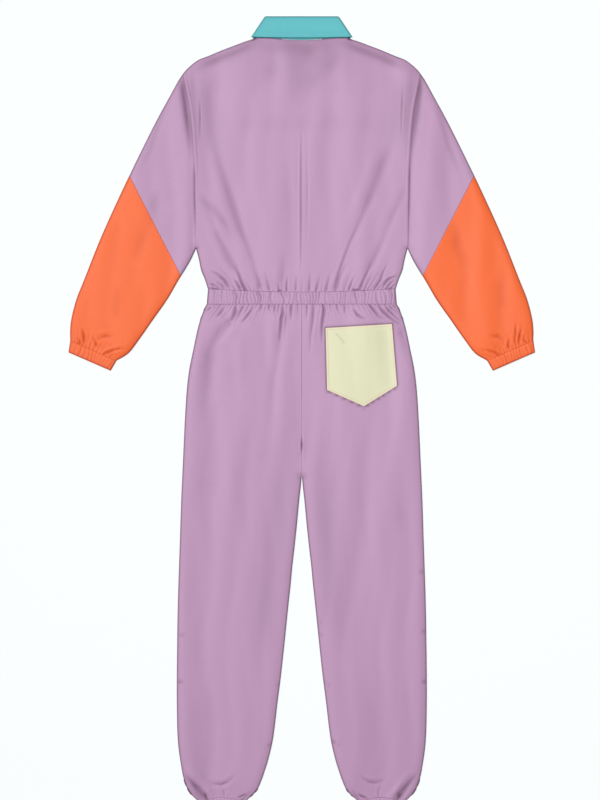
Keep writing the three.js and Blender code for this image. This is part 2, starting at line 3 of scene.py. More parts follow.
import bpy
import numpy as np
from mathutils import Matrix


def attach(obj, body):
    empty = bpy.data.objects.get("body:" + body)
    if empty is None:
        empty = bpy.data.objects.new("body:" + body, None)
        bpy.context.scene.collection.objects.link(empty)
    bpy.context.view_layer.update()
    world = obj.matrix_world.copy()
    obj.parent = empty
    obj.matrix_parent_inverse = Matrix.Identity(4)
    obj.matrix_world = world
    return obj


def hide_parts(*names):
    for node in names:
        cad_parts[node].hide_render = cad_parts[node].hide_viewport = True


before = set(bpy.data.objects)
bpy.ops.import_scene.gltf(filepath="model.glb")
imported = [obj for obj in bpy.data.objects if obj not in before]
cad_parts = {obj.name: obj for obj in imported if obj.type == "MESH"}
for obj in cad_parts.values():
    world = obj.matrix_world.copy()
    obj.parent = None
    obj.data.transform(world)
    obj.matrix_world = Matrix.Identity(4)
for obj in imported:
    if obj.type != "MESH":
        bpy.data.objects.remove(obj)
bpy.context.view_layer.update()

mm = 0.001  # the tables below are in millimetres, in the frame's axes; x = 0 is the centre back
print("jumpsuit: frame loaded")

# What the whole garment shares. The front lies on the surface, the back on the front.
garment = dict(
    cloth=1.5, gap=0.3, ply=0.9,      # solid wall, clear space, and the thin cloth that is drawn
    seamGap=0.04,                     # what each drawn piece gives up at a seam
    foldZ=1.65,                       # height at which back and front meet along the outline
    sideRound=3.2, loftRound=18,      # how far in the edge and the loft round off
    loft=3.5, leastRoom=0.4,          # air between the layers, and the least that a fold leaves
    cinch=0.42, cinchReach=24,        # how much the waist elastic draws in, and how far
    seamWidth=1.5,                    # half width of the dip along a seam
)
layerTop = 2 * garment["cloth"] + garment["gap"] + 0.1
leafLift = dict(height=1.8, fullX=105, endX=185, fullY=612, endY=548)

neck = dict(half=91, backY=717.1, sideY=720.6, backBulge=9.5, frontY=655)
casing = dict(topHalf=180, bottomHalf=182.5, topMidY=234, topSideY=240.5, bottomY=210.4)
zipPlace = dict(half=6, bottomY=27, topY=655)
crotchY = -120
ankle = dict(centreX=152.4, half=44.1, sideY=-746, bow=10.6, hemY=-764.2)
colourSeam = dict(outer=0.395, inner=0.225)
cuffHem = dict(outer=(447.9, 118.3), inner=(366.7, 82.9))

# Outlines of one half, as in the solids: x, y
shoulderEdge = [(91, 720.6), (96.6, 718.4), (107, 715.3), (122.5, 709.5), (153, 698.1), (180, 686.8),
                (199.5, 679), (222, 660.5), (228, 653)]
sleeveOuterEdge = [(228, 653), (236, 641), (257, 603), (278, 564.5), (316.5, 487.5), (353, 411),
                   (387.5, 334), (418, 257), (433, 219), (442.6, 180.5), (444.6, 160), (444.4, 141.2)]
sleeveInnerEdge = [(203, 317), (212.7, 296), (224, 276.5), (236, 257.5), (258.5, 219), (285.5, 180.5),
                   (312.5, 142), (333, 116), (355.6, 102.1)]
armholeSeam = [(203, 317), (205, 411), (206.5, 474), (208, 509), (214.7, 583.7), (226.2, 639.4),
               (228, 653)]
sideSeam = [(203, 317), (197.4, 295.7), (193.5, 276.5), (186, 257.5), (180.5, 240.5)]
legOuterEdge = [(182.8, 210.4), (187.4, 201), (194, 184), (200.3, 161.3), (208.5, 122.9), (216.2, 84.5),
                (220.8, 46), (224.5, -11.5), (228, -88), (231.5, -165), (234, -242), (237.8, -357),
                (239.2, -434), (240, -549), (238, -626), (233.5, -664), (225.8, -703), (218, -722),
                (211, -731.5), (203, -739), (196.5, -746)]
legInnerEdge = [(0.05, crotchY), (0.9, -127), (2.0, -140), (3.1, -150), (4.8, -165), (7.6, -195),
                (10.3, -223), (14.4, -261), (17.8, -290), (21.4, -328), (25.6, -367), (33.4, -443),
                (40.9, -511), (45.9, -549), (55.6, -626), (64.4, -664), (70.3, -683), (77.2, -703),
                (86.1, -722), (94.8, -731.5), (103.5, -739), (108.3, -746)]


def mix(a, b, t):
    # straight blend: a, plus t times what b is more than a
    return a + (b - a) * t


def smoothStep(value, start, end):
    # 0 at the start and 1 at the end, eased between them as 3t² - 2t³
    t = np.clip((value - start) / (end - start), 0, 1)
    return t * t * (3 - 2 * t)


def quarterRound(distance, radius):
    # quarter circle: 0 at the edge, 1 from one radius inwards
    s = np.clip(distance / radius, 0, 1)
    return np.sqrt(s * (2 - s))


def curveThrough(points, steps=24):
    # Catmull-Rom spline with knots spaced by the square root of each chord: every span is a Hermite
    # cubic with slopes from its neighbours. The result is read by its fraction of length.
    p = np.asarray(points, float)
    p = np.vstack([2 * p[0] - p[1], p, 2 * p[-1] - p[-2]])
    knot = np.sqrt(np.linalg.norm(np.diff(p, axis=0), axis=1))[:, None]
    a, b, c, d = p[:-3], p[1:-2], p[2:-1], p[3:]
    g0, g1, g2 = knot[:-2], knot[1:-1], knot[2:]
    slopeB = ((b - a) / g0 - (c - a) / (g0 + g1) + (c - b) / g1) * g1
    slopeC = ((c - b) / g1 - (d - b) / (g1 + g2) + (d - c) / g2) * g1
    t = np.linspace(0, 1, steps, endpoint=False)[None, :, None]
    b, c, slopeB, slopeC = (q[:, None, :] for q in (b, c, slopeB, slopeC))
    span = ((2 * t**3 - 3 * t**2 + 1) * b + (t**3 - 2 * t**2 + t) * slopeB
            + (3 * t**2 - 2 * t**3) * c + (t**3 - t**2) * slopeC)
    path = np.vstack([span.reshape(-1, 2), p[-2]])
    along = np.r_[0, np.cumsum(np.linalg.norm(np.diff(path, axis=0), axis=1))]
    along /= along[-1]
    return lambda f: np.stack([np.interp(f, along, path[:, 0]), np.interp(f, along, path[:, 1])], -1)


def lineThrough(*points):
    # broken line, read by a fraction in which each of its stretches counts the same
    p = np.asarray(points, float)
    f = np.linspace(0, 1, len(p))
    return lambda t: np.stack([np.interp(t, f, p[:, 0]), np.interp(t, f, p[:, 1])], -1)


fine = np.linspace(0, 1, 61)
armhole = curveThrough(armholeSeam)
sideEdge = curveThrough(sideSeam)
outerSleeve = curveThrough(sleeveOuterEdge)
innerSleeve = curveThrough(sleeveInnerEdge)
shoulder = curveThrough(shoulderEdge)(fine)
legOuter = curveThrough(legOuterEdge)(np.linspace(0, 1, 201))
legInner = curveThrough(legInnerEdge)(np.linspace(0, 1, 201))


def waistSeamY(x):
    # parabola, lowest at the centre back
    return mix(casing["topMidY"], casing["topSideY"], (x / casing["topHalf"]) ** 2)


def neckY(lowY, x, bulge=0.0):
    # parabola from the centre up to the side of the neck, plus a bulge of t² (1 - t²) between them
    square = (np.abs(x) / neck["half"]) ** 2
    return mix(lowY, neck["sideY"], square) + bulge * square * (1 - square)


def backNeckY(x):
    # the neck seam at the back
    return neckY(neck["backY"], x, neck["backBulge"])


def hemY(u):
    # the ankle seam: a parabola over the leg's width, highest at its middle
    return ankle["sideY"] + ankle["bow"] * 4 * u * (1 - u)


def mirrored(line):
    # the same line on the other side of the garment
    return np.asarray(line) * (-1, 1)


neckX = np.linspace(0, neck["half"], 16)
outline = [np.stack([neckX, backNeckY(neckX)], -1), shoulder, outerSleeve(fine),
           innerSleeve(fine), sideEdge(fine[::4]), legOuter[::4], legInner[::4]]
# the same without the neck, and with the collar, cuffs and sides of the waist: what shows as an edge,
# with a rim of painted shade along it
edges = outline[1:] + [
    np.array([(0, 762.6), (71, 762.6), (97.5, 723.8)]),
    np.array([outerSleeve(1.0), cuffHem["outer"], cuffHem["inner"], innerSleeve(1.0)]),
    np.array([(ankle["centreX"] + ankle["half"], ankle["sideY"]),
              (ankle["centreX"] + ankle["half"], ankle["hemY"]),
              (ankle["centreX"] - ankle["half"], ankle["hemY"]),
              (ankle["centreX"] - ankle["half"], ankle["sideY"])]),
    np.array([(casing["topHalf"], casing["topSideY"]), (casing["bottomHalf"], casing["bottomY"])])]


def nearest(line, x, y):
    # nearest place on a broken line: its distance, its side (left is positive) and how far along
    best = np.full(x.shape, 1e9)
    side = np.zeros(x.shape)
    along = np.zeros(x.shape)
    line = np.asarray(line, float)
    lengths = np.linalg.norm(np.diff(line, axis=0), axis=1)
    starts = np.r_[0, np.cumsum(lengths)]
    for index, (a, b) in enumerate(zip(line[:-1], line[1:])):
        d = b - a
        px, py = x - a[0], y - a[1]
        t = np.clip((px * d[0] + py * d[1]) / (d @ d), 0, 1)
        distance = np.hypot(px - t * d[0], py - t * d[1])
        closer = distance < best
        best = np.where(closer, distance, best)
        side = np.where(closer, np.sign(d[0] * py - d[1] * px), side)
        along = np.where(closer, (starts[index] + t * lengths[index]) / starts[-1], along)
    return best, side, along


def distanceTo(lines, x, y):
    # distance to the nearest of several broken lines
    return np.min([nearest(line, x, y)[0] for line in lines], axis=0)


# Folds in the back layer: depth of the trough, its half width, which side's lip stands higher
# (1 is left of the way, -1 right), where along its way it is deepest, and the way itself
# a narrow trough also gets painted shade in the colour, darker as it is deeper
folds = [
    # above the waist, wearer's left to right
    (3.4, 2.6, 0.5, 0.05, [(-106, 235), (-113, 248), (-121, 269), (-132, 290)]),
    (1.8, 7.0, 0.4, 0.10, [(-121, 266), (-137, 296), (-159, 338), (-193, 426)]),
    (3.0, 2.6, -0.4, 0.25, [(-138, 240), (-148, 256), (-163, 269), (-177, 275)]),
    (2.2, 2.0, 0.3, 0.10, [(-118, 240), (-124, 250), (-131, 260)]),
    (2.0, 2.0, 0.3, 0.60, [(-160, 240), (-167, 246), (-180, 251)]),
    (1.5, 1.8, 0.2, 0.20, [(-149, 240), (-154, 248), (-163, 256)]),
    (1.9, 5.0, 0.5, 0.15, [(-79, 238), (-83, 256), (-90, 274), (-96, 290)]),
    (1.6, 9, 0.6, 0.35, [(-78, 250), (-95, 296), (-117, 353), (-138, 420), (-157, 478), (-176, 560)]),
    (0.8, 10, 0.5, 0.40, [(-128, 330), (-146, 363), (-167, 392), (-200, 420)]),
    (2.0, 1.9, 0.0, 0.10, [(-43.5, 233), (-44, 240), (-46, 256)]),
    (1.6, 1.8, 0.3, 0.10, [(-29, 235), (-29, 246), (-27, 268)]),
    (0.8, 6.0, 0.3, 0.30, [(-40, 240), (-36, 275), (-33, 320)]),
    (1.3, 3.0, 0.0, 0.10, [(-62, 236), (-66, 254), (-72, 276)]),
    (1.2, 2.4, 0.0, 0.10, [(-12, 235), (-11, 252), (-9, 270)]),
    (1.5, 3.0, 0.0, 0.10, [(14, 235), (15, 254), (17, 276)]),
    (1.3, 2.4, 0.2, 0.10, [(28, 235), (31, 250), (36, 268)]),
    (1.4, 2.6, 0.0, 0.10, [(47, 235), (50, 252), (56, 274)]),
    (2.6, 4.2, -0.5, 0.10, [(65, 237), (71, 257), (78, 274), (88, 296)]),
    (1.2, 2.8, 0.4, 0.15, [(63, 240), (73, 276), (92, 329), (112, 372)]),
    (1.6, 10, 0.6, 0.45, [(84, 310), (112, 372), (131, 416), (150, 470), (180, 540)]),
    (0.7, 8, 0.5, 0.40, [(150, 330), (165, 360), (183, 401), (200, 445)]),
    (2.8, 2.3, -0.5, 0.10, [(111, 239), (117, 253), (124, 268), (134, 290)]),
    (1.5, 7.0, -0.4, 0.15, [(124, 268), (140, 300), (156, 335), (172, 372)]),
    (2.4, 2.2, -0.3, 0.15, [(139, 240), (145, 248), (151, 257), (156, 272), (166, 290)]),
    (3.0, 2.2, 0.3, 0.40, [(154, 241), (160, 251), (167, 259), (177, 263), (187, 265)]),
    (1.9, 1.8, 0.2, 0.20, [(162, 241), (171, 252), (182, 258)]),
    (1.6, 1.8, 0.0, 0.10, [(170, 240), (177, 247), (184, 250)]),
    (1.6, 2.0, 0.0, 0.10, [(90, 238), (95, 252), (102, 268)]),
    # pressed line down the centre back
    (1.8, 1.6, -0.2, 0.40, [(-1.6, 266), (-1.4, 400), (-0.8, 550)]),
    (-0.6, 2.2, 0.0, 0.60, [(-6.4, 300), (-6.2, 430), (-5.0, 560)]),
    (0.5, 2.6, 0.0, 0.50, [(9, 290), (10.5, 420), (9, 560)]),
    (0.6, 16, 0.4, 0.40, [(-22, 300), (-24, 420), (-20, 560)]),
    # upper back
    (0.7, 14, 0.3, 0.50, [(88, 712), (60, 676), (40, 650), (18, 620)]),
    (0.9, 20, 0.4, 0.30, [(-40, 700), (-70, 640), (-104, 560)]),
    (1.2, 1.6, -0.4, 0.40, [(-195.5, 608), (-194.5, 570), (-195.5, 522)]),
    (1.2, 1.6, 0.4, 0.40, [(194, 636), (192, 580), (190, 524)]),
    # below the waist
    (4.2, 2.4, 0.5, 0.35, [(-126, 210), (-128, 196), (-134, 182), (-142, 175)]),
    (2.2, 8.0, 0.5, 0.05, [(-137, 179), (-150, 164), (-168, 140), (-186, 100)]),
    (1.8, 14, 0.4, 0.20, [(-160, 150), (-180, 90), (-190, 20), (-196, -70)]),
    (2.6, 2.4, 0.3, 0.45, [(-147, 208), (-150, 203), (-157, 193), (-166, 184)]),
    (2.2, 2.0, -0.3, 0.50, [(-90, 209), (-97, 198), (-107, 185), (-118, 172)]),
    (2.0, 1.8, 0.0, 0.10, [(-76.5, 210), (-78, 204), (-82, 194)]),
    (1.8, 1.8, 0.0, 0.20, [(-62, 210), (-63, 203), (-60, 194)]),
    (1.4, 1.8, 0.0, 0.20, [(-52, 210), (-52, 198), (-50, 184)]),
    (4.0, 2.2, 0.3, 0.30, [(-36, 210), (-36, 194), (-39, 184), (-40, 168), (-43, 134)]),
    (1.8, 9.0, 0.4, 0.10, [(-40, 168), (-46, 120), (-56, 50), (-62, -40)]),
    (2.0, 2.4, 0.2, 0.20, [(-21, 210), (-20.5, 196), (-20, 178)]),
    (2.2, 2.0, 0.0, 0.30, [(-172, 207), (-178, 201), (-186, 196)]),
    (1.8, 1.8, 0.0, 0.30, [(-112, 210), (-115, 202), (-119, 192)]),
    (1.6, 2.2, 0.0, 0.10, [(10, 210), (10, 198), (9, 180)]),
    (1.9, 3.6, 0.4, 0.20, [(23, 210), (21, 180), (17, 150), (14, 110)]),
    (3.6, 2.6, -0.5, 0.15, [(41, 210), (43, 199), (41.5, 186), (39, 169), (38, 132)]),
    (2.2, 2.4, -0.4, 0.45, [(97, 206), (100, 200), (107, 190), (115, 185), (126, 183)]),
    (1.5, 1.8, 0.0, 0.20, [(66, 210), (68, 202), (72, 192)]),
    (1.4, 1.8, 0.0, 0.20, [(82, 210), (83, 200), (82, 190)]),
    (2.8, 2.2, -0.4, 0.20, [(129, 211), (138, 200), (147, 188), (157, 181)]),
    (4.0, 2.4, -0.5, 0.25, [(145, 211), (155, 198), (166, 187), (178, 178), (194, 171)]),
    (3.4, 2.2, -0.4, 0.25, [(158, 211), (166, 200), (179, 187), (194, 174)]),
    (2.6, 1.9, -0.3, 0.25, [(166, 211), (174, 201), (187, 194)]),
    (2.0, 1.6, -0.2, 0.25, [(173, 210), (180, 204), (188, 199)]),
    (2.4, 9.0, -0.5, 0.20, [(188, 172), (200, 140), (208, 96)]),
    # trouser legs
    (3.0, 1.7, 0.0, 0.50, [(0, -42), (0, -60), (0, -78)]),
    (1.3, 26, 0.5, 0.30, [(-66, 110), (-70, -60), (-78, -260), (-92, -520)]),
    (1.8, 24, 0.3, 0.40, [(-176, 40), (-180, -160), (-172, -400)]),
    (1.0, 24, 0.5, 0.30, [(54, -20), (60, -180), (74, -420), (96, -620)]),
    (1.8, 24, 0.3, 0.35, [(186, 20), (190, -160), (186, -420), (180, -600)]),
    # ankles
    (5.2, 6.4, -0.5, 0.20, [(-183, -742), (-190, -733), (-200, -718), (-212, -703), (-228, -688)]),
    (5.0, 6.0, 0.5, 0.20, [(180, -742), (188, -731), (198, -717), (209, -702), (223, -687)]),
    (1.5, 4.0, 0.2, 0.50, [(-180, -703), (-168, -709), (-154, -710), (-143, -706), (-134, -698),
                           (-126, -688)]),
    (1.5, 4.0, 0.2, 0.50, [(112, -690), (120, -699), (129, -705), (140, -707), (152, -704), (163, -697)]),
    (2.0, 3.0, 0.3, 0.15, [(-118, -745), (-108, -736), (-96, -722)]),
    (2.0, 3.0, -0.3, 0.15, [(112, -745), (104, -732), (92, -712)]),
    (0.9, 2.4, 0.0, 0.20, [(-148, -735), (-150, -722), (-156, -708)]),
    (0.9, 2.4, 0.0, 0.20, [(146, -735), (148, -722), (154, -706)]),
    # wrists
    (2.7, 2.4, 0.3, 0.55, [(-418, 125), (-416, 136), (-418, 152), (-422, 166)]),
    (2.2, 2.0, 0.0, 0.50, [(-431, 125), (-426, 136), (-427, 149)]),
    (1.9, 2.2, -0.2, 0.25, [(-395, 126), (-394, 133), (-402, 150)]),
    (1.3, 4.4, 0.4, 0.50, [(-396, 143), (-377, 149), (-358, 149)]),
    (2.2, 2.6, 0.4, 0.15, [(-380, 114), (-365, 121), (-349, 125), (-333, 124)]),
    (2.7, 2.4, -0.3, 0.55, [(415, 126), (416, 136), (418, 150), (422, 166)]),
    (1.8, 2.4, 0.0, 0.50, [(409, 128), (410, 150), (411, 178)]),
    (2.4, 2.2, 0.2, 0.25, [(397, 124), (396, 132), (397, 146)]),
    (2.0, 2.0, 0.0, 0.50, [(426, 144), (430, 138), (436, 132)]),
    (1.3, 4.4, -0.4, 0.50, [(356, 150), (377, 149), (392, 139)]),
    (2.2, 2.6, -0.4, 0.15, [(384, 109), (371, 118), (356, 122), (340, 122)]),
    # sleeves
    (0.8, 14, 0.4, 0.40, [(-276, 430), (-284, 390), (-290, 350)]),
    (0.8, 13, 0.3, 0.40, [(-298, 372), (-306, 330), (-318, 280)]),
    (0.9, 13, -0.3, 0.40, [(294, 372), (300, 321), (314, 270)]),
]
# Short creases that run in from the leg seams: x at the seam, y, how far they reach (to the left where
# negative) and how far they drop
seamCreases = [(-241, -420, 20, 5), (-239, -512, 15, 2), (241, -418, -20, -4), (239, -514, -18, -5),
               (-21, -342, -13, 4), (-39, -516, -12, 5), (-57, -632, -15, 9), (26, -392, 14, 6),
               (29, -420, 12, 4), (39, -512, 18, 9), (58, -628, 18, 8), (234, -300, -12, 3)]
folds += [(1.1, 2.6, 0.3, 0.1, [(x, y), (x + reach, y - drop)]) for x, y, reach, drop in seamCreases]

# Broad soft hollows of painted shade, each over a shallow dip: how dark, half width, where along its way it
# is darkest, and the way
paintedHollows = [
    # beside the armholes, on the sleeve
    (0.85, 6.5, 0.30, [(-230, 664), (-228, 625), (-222, 580), (-215, 530), (-207, 474)]),
    (0.72, 6.5, 0.30, [(230, 662), (227, 620), (221, 575), (214, 525), (207.5, 474)]),
    (0.75, 2.6, 0.40, [(-206.5, 505), (-206, 420), (-203.5, 325)]),
    (0.60, 2.6, 0.40, [(207, 505), (206.5, 420), (204, 325)]),
    # along the shoulders and down the sides of the back
    (0.55, 9.0, 0.45, [(-60, 716), (-92, 709), (-128, 693), (-153, 684), (-180, 673), (-205, 659),
                       (-222, 640)]),
    (0.55, 9.0, 0.45, [(50, 716), (84, 710), (131, 692), (160, 681), (183, 671), (206, 657),
                       (222, 640)]),
    (0.34, 8.0, 0.35, [(-214, 676), (-208, 615), (-200, 545), (-198, 470)]),
    (0.34, 8.0, 0.35, [(214, 676), (208, 615), (200, 545), (198, 470)]),
    (0.22, 13, 0.45, [(-190, 672), (-183, 603), (-171, 536), (-153, 478)]),
    (0.24, 13, 0.45, [(194, 668), (184, 584), (175, 530), (158, 485)]),
    (0.20, 9.0, 0.40, [(-172, 540), (-157, 478), (-138, 420), (-117, 353), (-98, 300)]),
    (0.14, 4.5, 0.50, [(-138, 420), (-117, 353), (-95, 296), (-76, 246)]),
    (0.19, 12, 0.40, [(174, 520), (152, 475), (140, 430), (120, 385)]),
    (0.13, 4.5, 0.50, [(136, 425), (112, 372), (92, 329), (73, 276), (63, 242)]),
    (0.13, 8.0, 0.40, [(-206, 424), (-167, 392), (-146, 363), (-124, 322)]),
    (0.11, 7.0, 0.40, [(200, 445), (183, 401), (163, 356)]),
    # under the collar and down the middle
    (0.44, 15, 0.50, [(-100, 708), (-40, 706), (0, 704), (40, 706), (100, 708)]),
    (0.20, 28, 0.30, [(-4, 722), (0, 665), (2, 560)]),
    (0.11, 46, 0.50, [(-230, 684), (0, 692), (230, 684)]),
    (0.20, 16, 0.50, [(-6, 704), (25, 684), (52, 664)]),
    (0.19, 20, 0.50, [(92, 716), (58, 684), (36, 655), (8, 610)]),
    # sleeves
    (0.22, 6.0, 0.45, [(-243, 625), (-262, 594), (-291, 507), (-322, 442)]),
    (0.22, 6.0, 0.45, [(243, 620), (258, 592), (285, 507), (316, 430)]),
    (0.14, 10, 0.50, [(-274, 440), (-284, 396), (-290, 350)]),
    (0.14, 11, 0.50, [(-292, 385), (-306, 335), (-320, 285)]),
    (0.16, 9.0, 0.50, [(-350, 250), (-356, 205), (-358, 170)]),
    (0.16, 10, 0.50, [(292, 385), (300, 321), (316, 270)]),
    (0.12, 13, 0.50, [(374, 270), (381, 232), (388, 190)]),
    # seat and legs
    (0.16, 11, 0.40, [(-160, 170), (-174, 120), (-187, 27), (-192, -60)]),
    (0.14, 13, 0.40, [(-104, 175), (-108, 120), (-112, 30)]),
    (0.20, 21, 0.60, [(-24, 80), (-34, -60), (-48, -230), (-60, -330), (-78, -520)]),
    (0.21, 21, 0.62, [(22, 60), (32, -80), (48, -230), (58, -330), (76, -500)]),
    (0.10, 26, 0.50, [(-188, -500), (-202, -626), (-200, -740)]),
    (0.10, 70, 0.60, [(150, -450), (152, -620), (152, -780)]),
    # corners of the ankles
    (0.60, 4.5, 0.70, [(-229, -684), (-216, -702), (-203, -715), (-190, -730), (-182, -744)]),
    (0.60, 4.5, 0.70, [(224, -684), (211, -704), (200, -718), (190, -731), (183, -744)]),
    (0.97, 3.0, 0.50, [(-189, -724), (-184.5, -733), (-181, -743)]),
    (0.97, 3.0, 0.50, [(190, -724), (186, -733), (183, -743)]),
    (0.80, 2.2, 0.50, [(-126, -738), (-116, -733), (-104, -727)]),
    (0.80, 2.2, 0.50, [(104, -727), (116, -733), (130, -739)]),
    # beside the collar's points
    (0.97, 2.6, 0.50, [(-99, 715.5), (-93, 718.5), (-84, 720.5)]),
    (0.97, 2.6, 0.50, [(99, 715.5), (93, 718.5), (84, 720.5)]),
    # pinched places on the waist seam
    (0.90, 1.6, 0.50, [(92, 238), (104, 238), (116, 239)]),
    (0.80, 1.8, 0.50, [(-47, 236.5), (-42, 236.5), (-36, 236.5)]),
    (0.70, 2.0, 0.50, [(-180, 242), (-167, 240), (-154, 240)]),
    (0.70, 2.0, 0.50, [(154, 240), (168, 240), (180, 242)]),
]

# How folds and hollows are formed, and how much painted shade each puts in the colour. A fold is narrow
# under a half width of narrow millimetres.
foldForm = dict(
    narrow=7, narrowPower=1.25, broadPower=2,      # the sharpness of its bell
    lipAt=1.9, lipWidth=1.2, lipHeight=0.7,        # lips, in half widths, and their height for its depth
    earlyStart=0.45, early=0.25, fadePower=1.1,    # strength at the start of one that is deepest early on
    # dark, darkDepth and broadDark set the painted shade in a fold's trough
    dark=0.6, darkDepth=4.5, broadDark=0.3,        # how dark it is at full depth
    hollowDepth=1.6, hollowFade=0.75,
)


def foldSums(x, y):
    # sum of troughs: a bell across the fold, peaked where it is narrow, sunk between two lips;
    # it deepens from its start to its deepest place and fades from there to its end. Beside the
    # height, the painted shade there, 0 to 1. A hollow is a wide bell of painted shade over a
    # shallow dip that fades towards both ends.
    k = foldForm
    height, shadow = np.zeros(x.shape), np.zeros(x.shape)

    def near(way, reach):
        # the points in the box round a way
        low, high = way.min(0) - reach, way.max(0) + reach
        return (x > low[0]) & (x < high[0]) & (y > low[1]) & (y < high[1])

    for depth, width, lean, deepest, way in folds:
        way = np.asarray(way, float)
        at = near(way, 4.5 * width)
        if not at.any():
            continue
        distance, side, along = nearest(way, x[at], y[at])
        across = distance * side / width
        isNarrow = width < k["narrow"]
        trough = np.exp(-np.abs(across) ** (k["narrowPower"] if isNarrow else k["broadPower"]))
        lips = ((0.5 + 0.5 * lean) * np.exp(-((across - k["lipAt"]) / k["lipWidth"]) ** 2)
                + (0.5 - 0.5 * lean) * np.exp(-((across + k["lipAt"]) / k["lipWidth"]) ** 2))
        start = k["earlyStart"] if deepest < k["early"] else 0.0
        rise = np.clip(start + (1 - start) * along / deepest, 0, 1)
        strength = rise * np.clip((1 - along) / (1 - deepest), 0, 1) ** k["fadePower"]
        height[at] += depth * strength * (k["lipHeight"] * lips - trough)
        dark = k["dark"] * np.clip(depth / k["darkDepth"], 0, 1) * (1 if isNarrow else k["broadDark"])
        shadow[at] = np.maximum(shadow[at], dark * strength * trough)
    for dark, width, deepest, way in paintedHollows:
        way = np.asarray(way, float)
        at = near(way, 2.6 * width)
        if not at.any():
            continue
        distance, side, along = nearest(way, x[at], y[at])
        fade = np.minimum(along / deepest, (1 - along) / (1 - deepest))
        bell = dark * smoothStep(fade, 0, k["hollowFade"]) * np.exp(-(distance / width) ** 2)
        height[at] -= k["hollowDepth"] * bell
        shadow[at] = 1 - (1 - shadow[at]) * (1 - bell)
    return height, shadow


# How gathers differ along a seam: kinds of ridge, the range of their heights and lengths, and two slow
# waves that stretch and press their spacing, each a length in pitches and a size
gatherForm = dict(kinds=97, heights=(0.3, 1.35), lengths=(0.4, 1.7), waves=((2.1, 0.5), (5.3, 0.6)),
                  ridgePower=0.8, fadePower=1.3, sunk=0.4)


def gatherHeight(place, distance, seed, pitch, height, reach):
    # rounded ridges with sharp valleys, the sine of an unevenly stretched place, each with its own
    # height and its own length away from the seam, where distance is 0
    k = gatherForm
    random = np.random.default_rng(seed)
    sizes = random.uniform(*k["heights"], k["kinds"])
    lengths = random.uniform(*k["lengths"], k["kinds"])
    phases = random.uniform(0, 2 * math.pi, 2)
    total = np.zeros(place.shape)
    near = distance < 5 * reach
    p, d = place[near], np.maximum(distance[near], 0)
    q = p / pitch
    for (length, size), phase in zip(k["waves"], phases):
        q = q + size * np.sin(p / (length * pitch) + phase)
    number = np.floor(q).astype(int) % k["kinds"]
    ridge = np.abs(np.sin(math.pi * q)) ** k["ridgePower"]
    fade = np.exp(-(d / (reach * lengths[number])) ** k["fadePower"])
    sunk = k["sunk"] * np.exp(-(d / reach) ** k["fadePower"])
    total[near] = height * (sizes[number] * ridge * fade - sunk)
    return total


swell = dict(widths=(150, 108, 79, 57, 38), heights=(1.5, 1.4, 1.1, 0.8, 0.3))


def swellHeight(x, y):
    # sum of seeded sine waves, long up and down the garment and short across it, each one bent
    random = np.random.default_rng(5)
    height = np.zeros(x.shape)
    for width, size in zip(swell["widths"], swell["heights"]):
        slant, phase, bend, length = random.uniform((-0.03, 0, 0, 8), (0.03, 6.28, 6.28, 14))
        place = x + slant * y + 0.25 * width * np.sin(2 * math.pi * y / (width * length) + bend)
        height += 0.5 * size * np.sin(2 * math.pi * place / width + phase)
    return height


def frontLift(x, y):
    # the front's neck is lifted by the collar leaves under it
    return (leafLift["height"] * smoothStep(y, leafLift["endY"], leafLift["fullY"])
            * smoothStep(-np.abs(x), -leafLift["endX"], -leafLift["fullX"]))


def backHeight(x, y, extra=0.0, seams=(), cinch=None):
    # upper face of the back layer: rounded up from the outline, lofted, folded, drawn in at the
    # elastics and sunk along the seams, which are pairs of a line and a depth
    d = distanceTo(outline, np.abs(x), y)
    waist = np.where(y > casing["topMidY"], y - casing["topMidY"], casing["bottomY"] - y)
    belted = smoothStep(-np.abs(x), -240, -205)
    drawn = 1 - garment["cinch"] * belted * np.exp(-(waist / garment["cinchReach"]) ** 2)
    drawn = drawn * (1 if cinch is None else cinch)
    room = garment["loft"] * drawn + drawn * swellHeight(x, y) + foldSums(x, y)[0] + extra
    spare = room - garment["leastRoom"]
    room = garment["leastRoom"] + 0.5 * (spare + np.sqrt(spare ** 2 + 0.5))   # a soft floor
    z = (frontLift(x, y) + garment["foldZ"]
         + (layerTop - garment["foldZ"]) * quarterRound(d, garment["sideRound"])
         + quarterRound(d, garment["loftRound"]) * room)
    for line, depth in seams:
        z = z - depth * (1 - quarterRound(nearest(line, x, y)[0], garment["seamWidth"]))
    return z


def frontHeight(x, y):
    # lower face of the front layer: flat, and rounded up to meet the back along the outline
    d = distanceTo(outline, np.abs(x), y)
    return frontLift(x, y) + garment["foldZ"] * (1 - quarterRound(d, garment["sideRound"]))


def graded(length, step, finest=0.45, growth=1.5):
    # fractions of a length: short steps at both ends that grow to the full step between them
    near = [0.0]
    size = finest
    while size < step:
        near.append(near[-1] + size)
        size *= growth
    near = np.array(near)
    count = max(int(math.ceil((length - 2 * near[-1]) / step)), 2)
    middle = np.linspace(near[-1], length - near[-1], count + 1)[1:-1]
    return np.r_[near, middle, length - near[::-1]] / length


def spread(length, places, steps):
    # fractions of a length, with the step between them read from a short table of places
    at = [0.0]
    while at[-1] < length:
        at.append(at[-1] + float(np.interp(at[-1], places, steps)))
    return np.array(at) / at[-1]


def coonsPatch(start, end, low, high, u, v):
    # four-sided patch: rows blended between two edges, plus columns between two, less the corners
    a, b = u[None, :, None], v[:, None, None]
    ends = np.array([0.0, 1.0])
    first, last = start(ends), end(ends)
    corners = mix(mix(first[0], first[1], a), mix(last[0], last[1], a), b)
    rows = mix(start(u)[None], end(u)[None], b)
    columns = mix(low(v)[:, None], high(v)[:, None], a)
    return rows + columns - corners


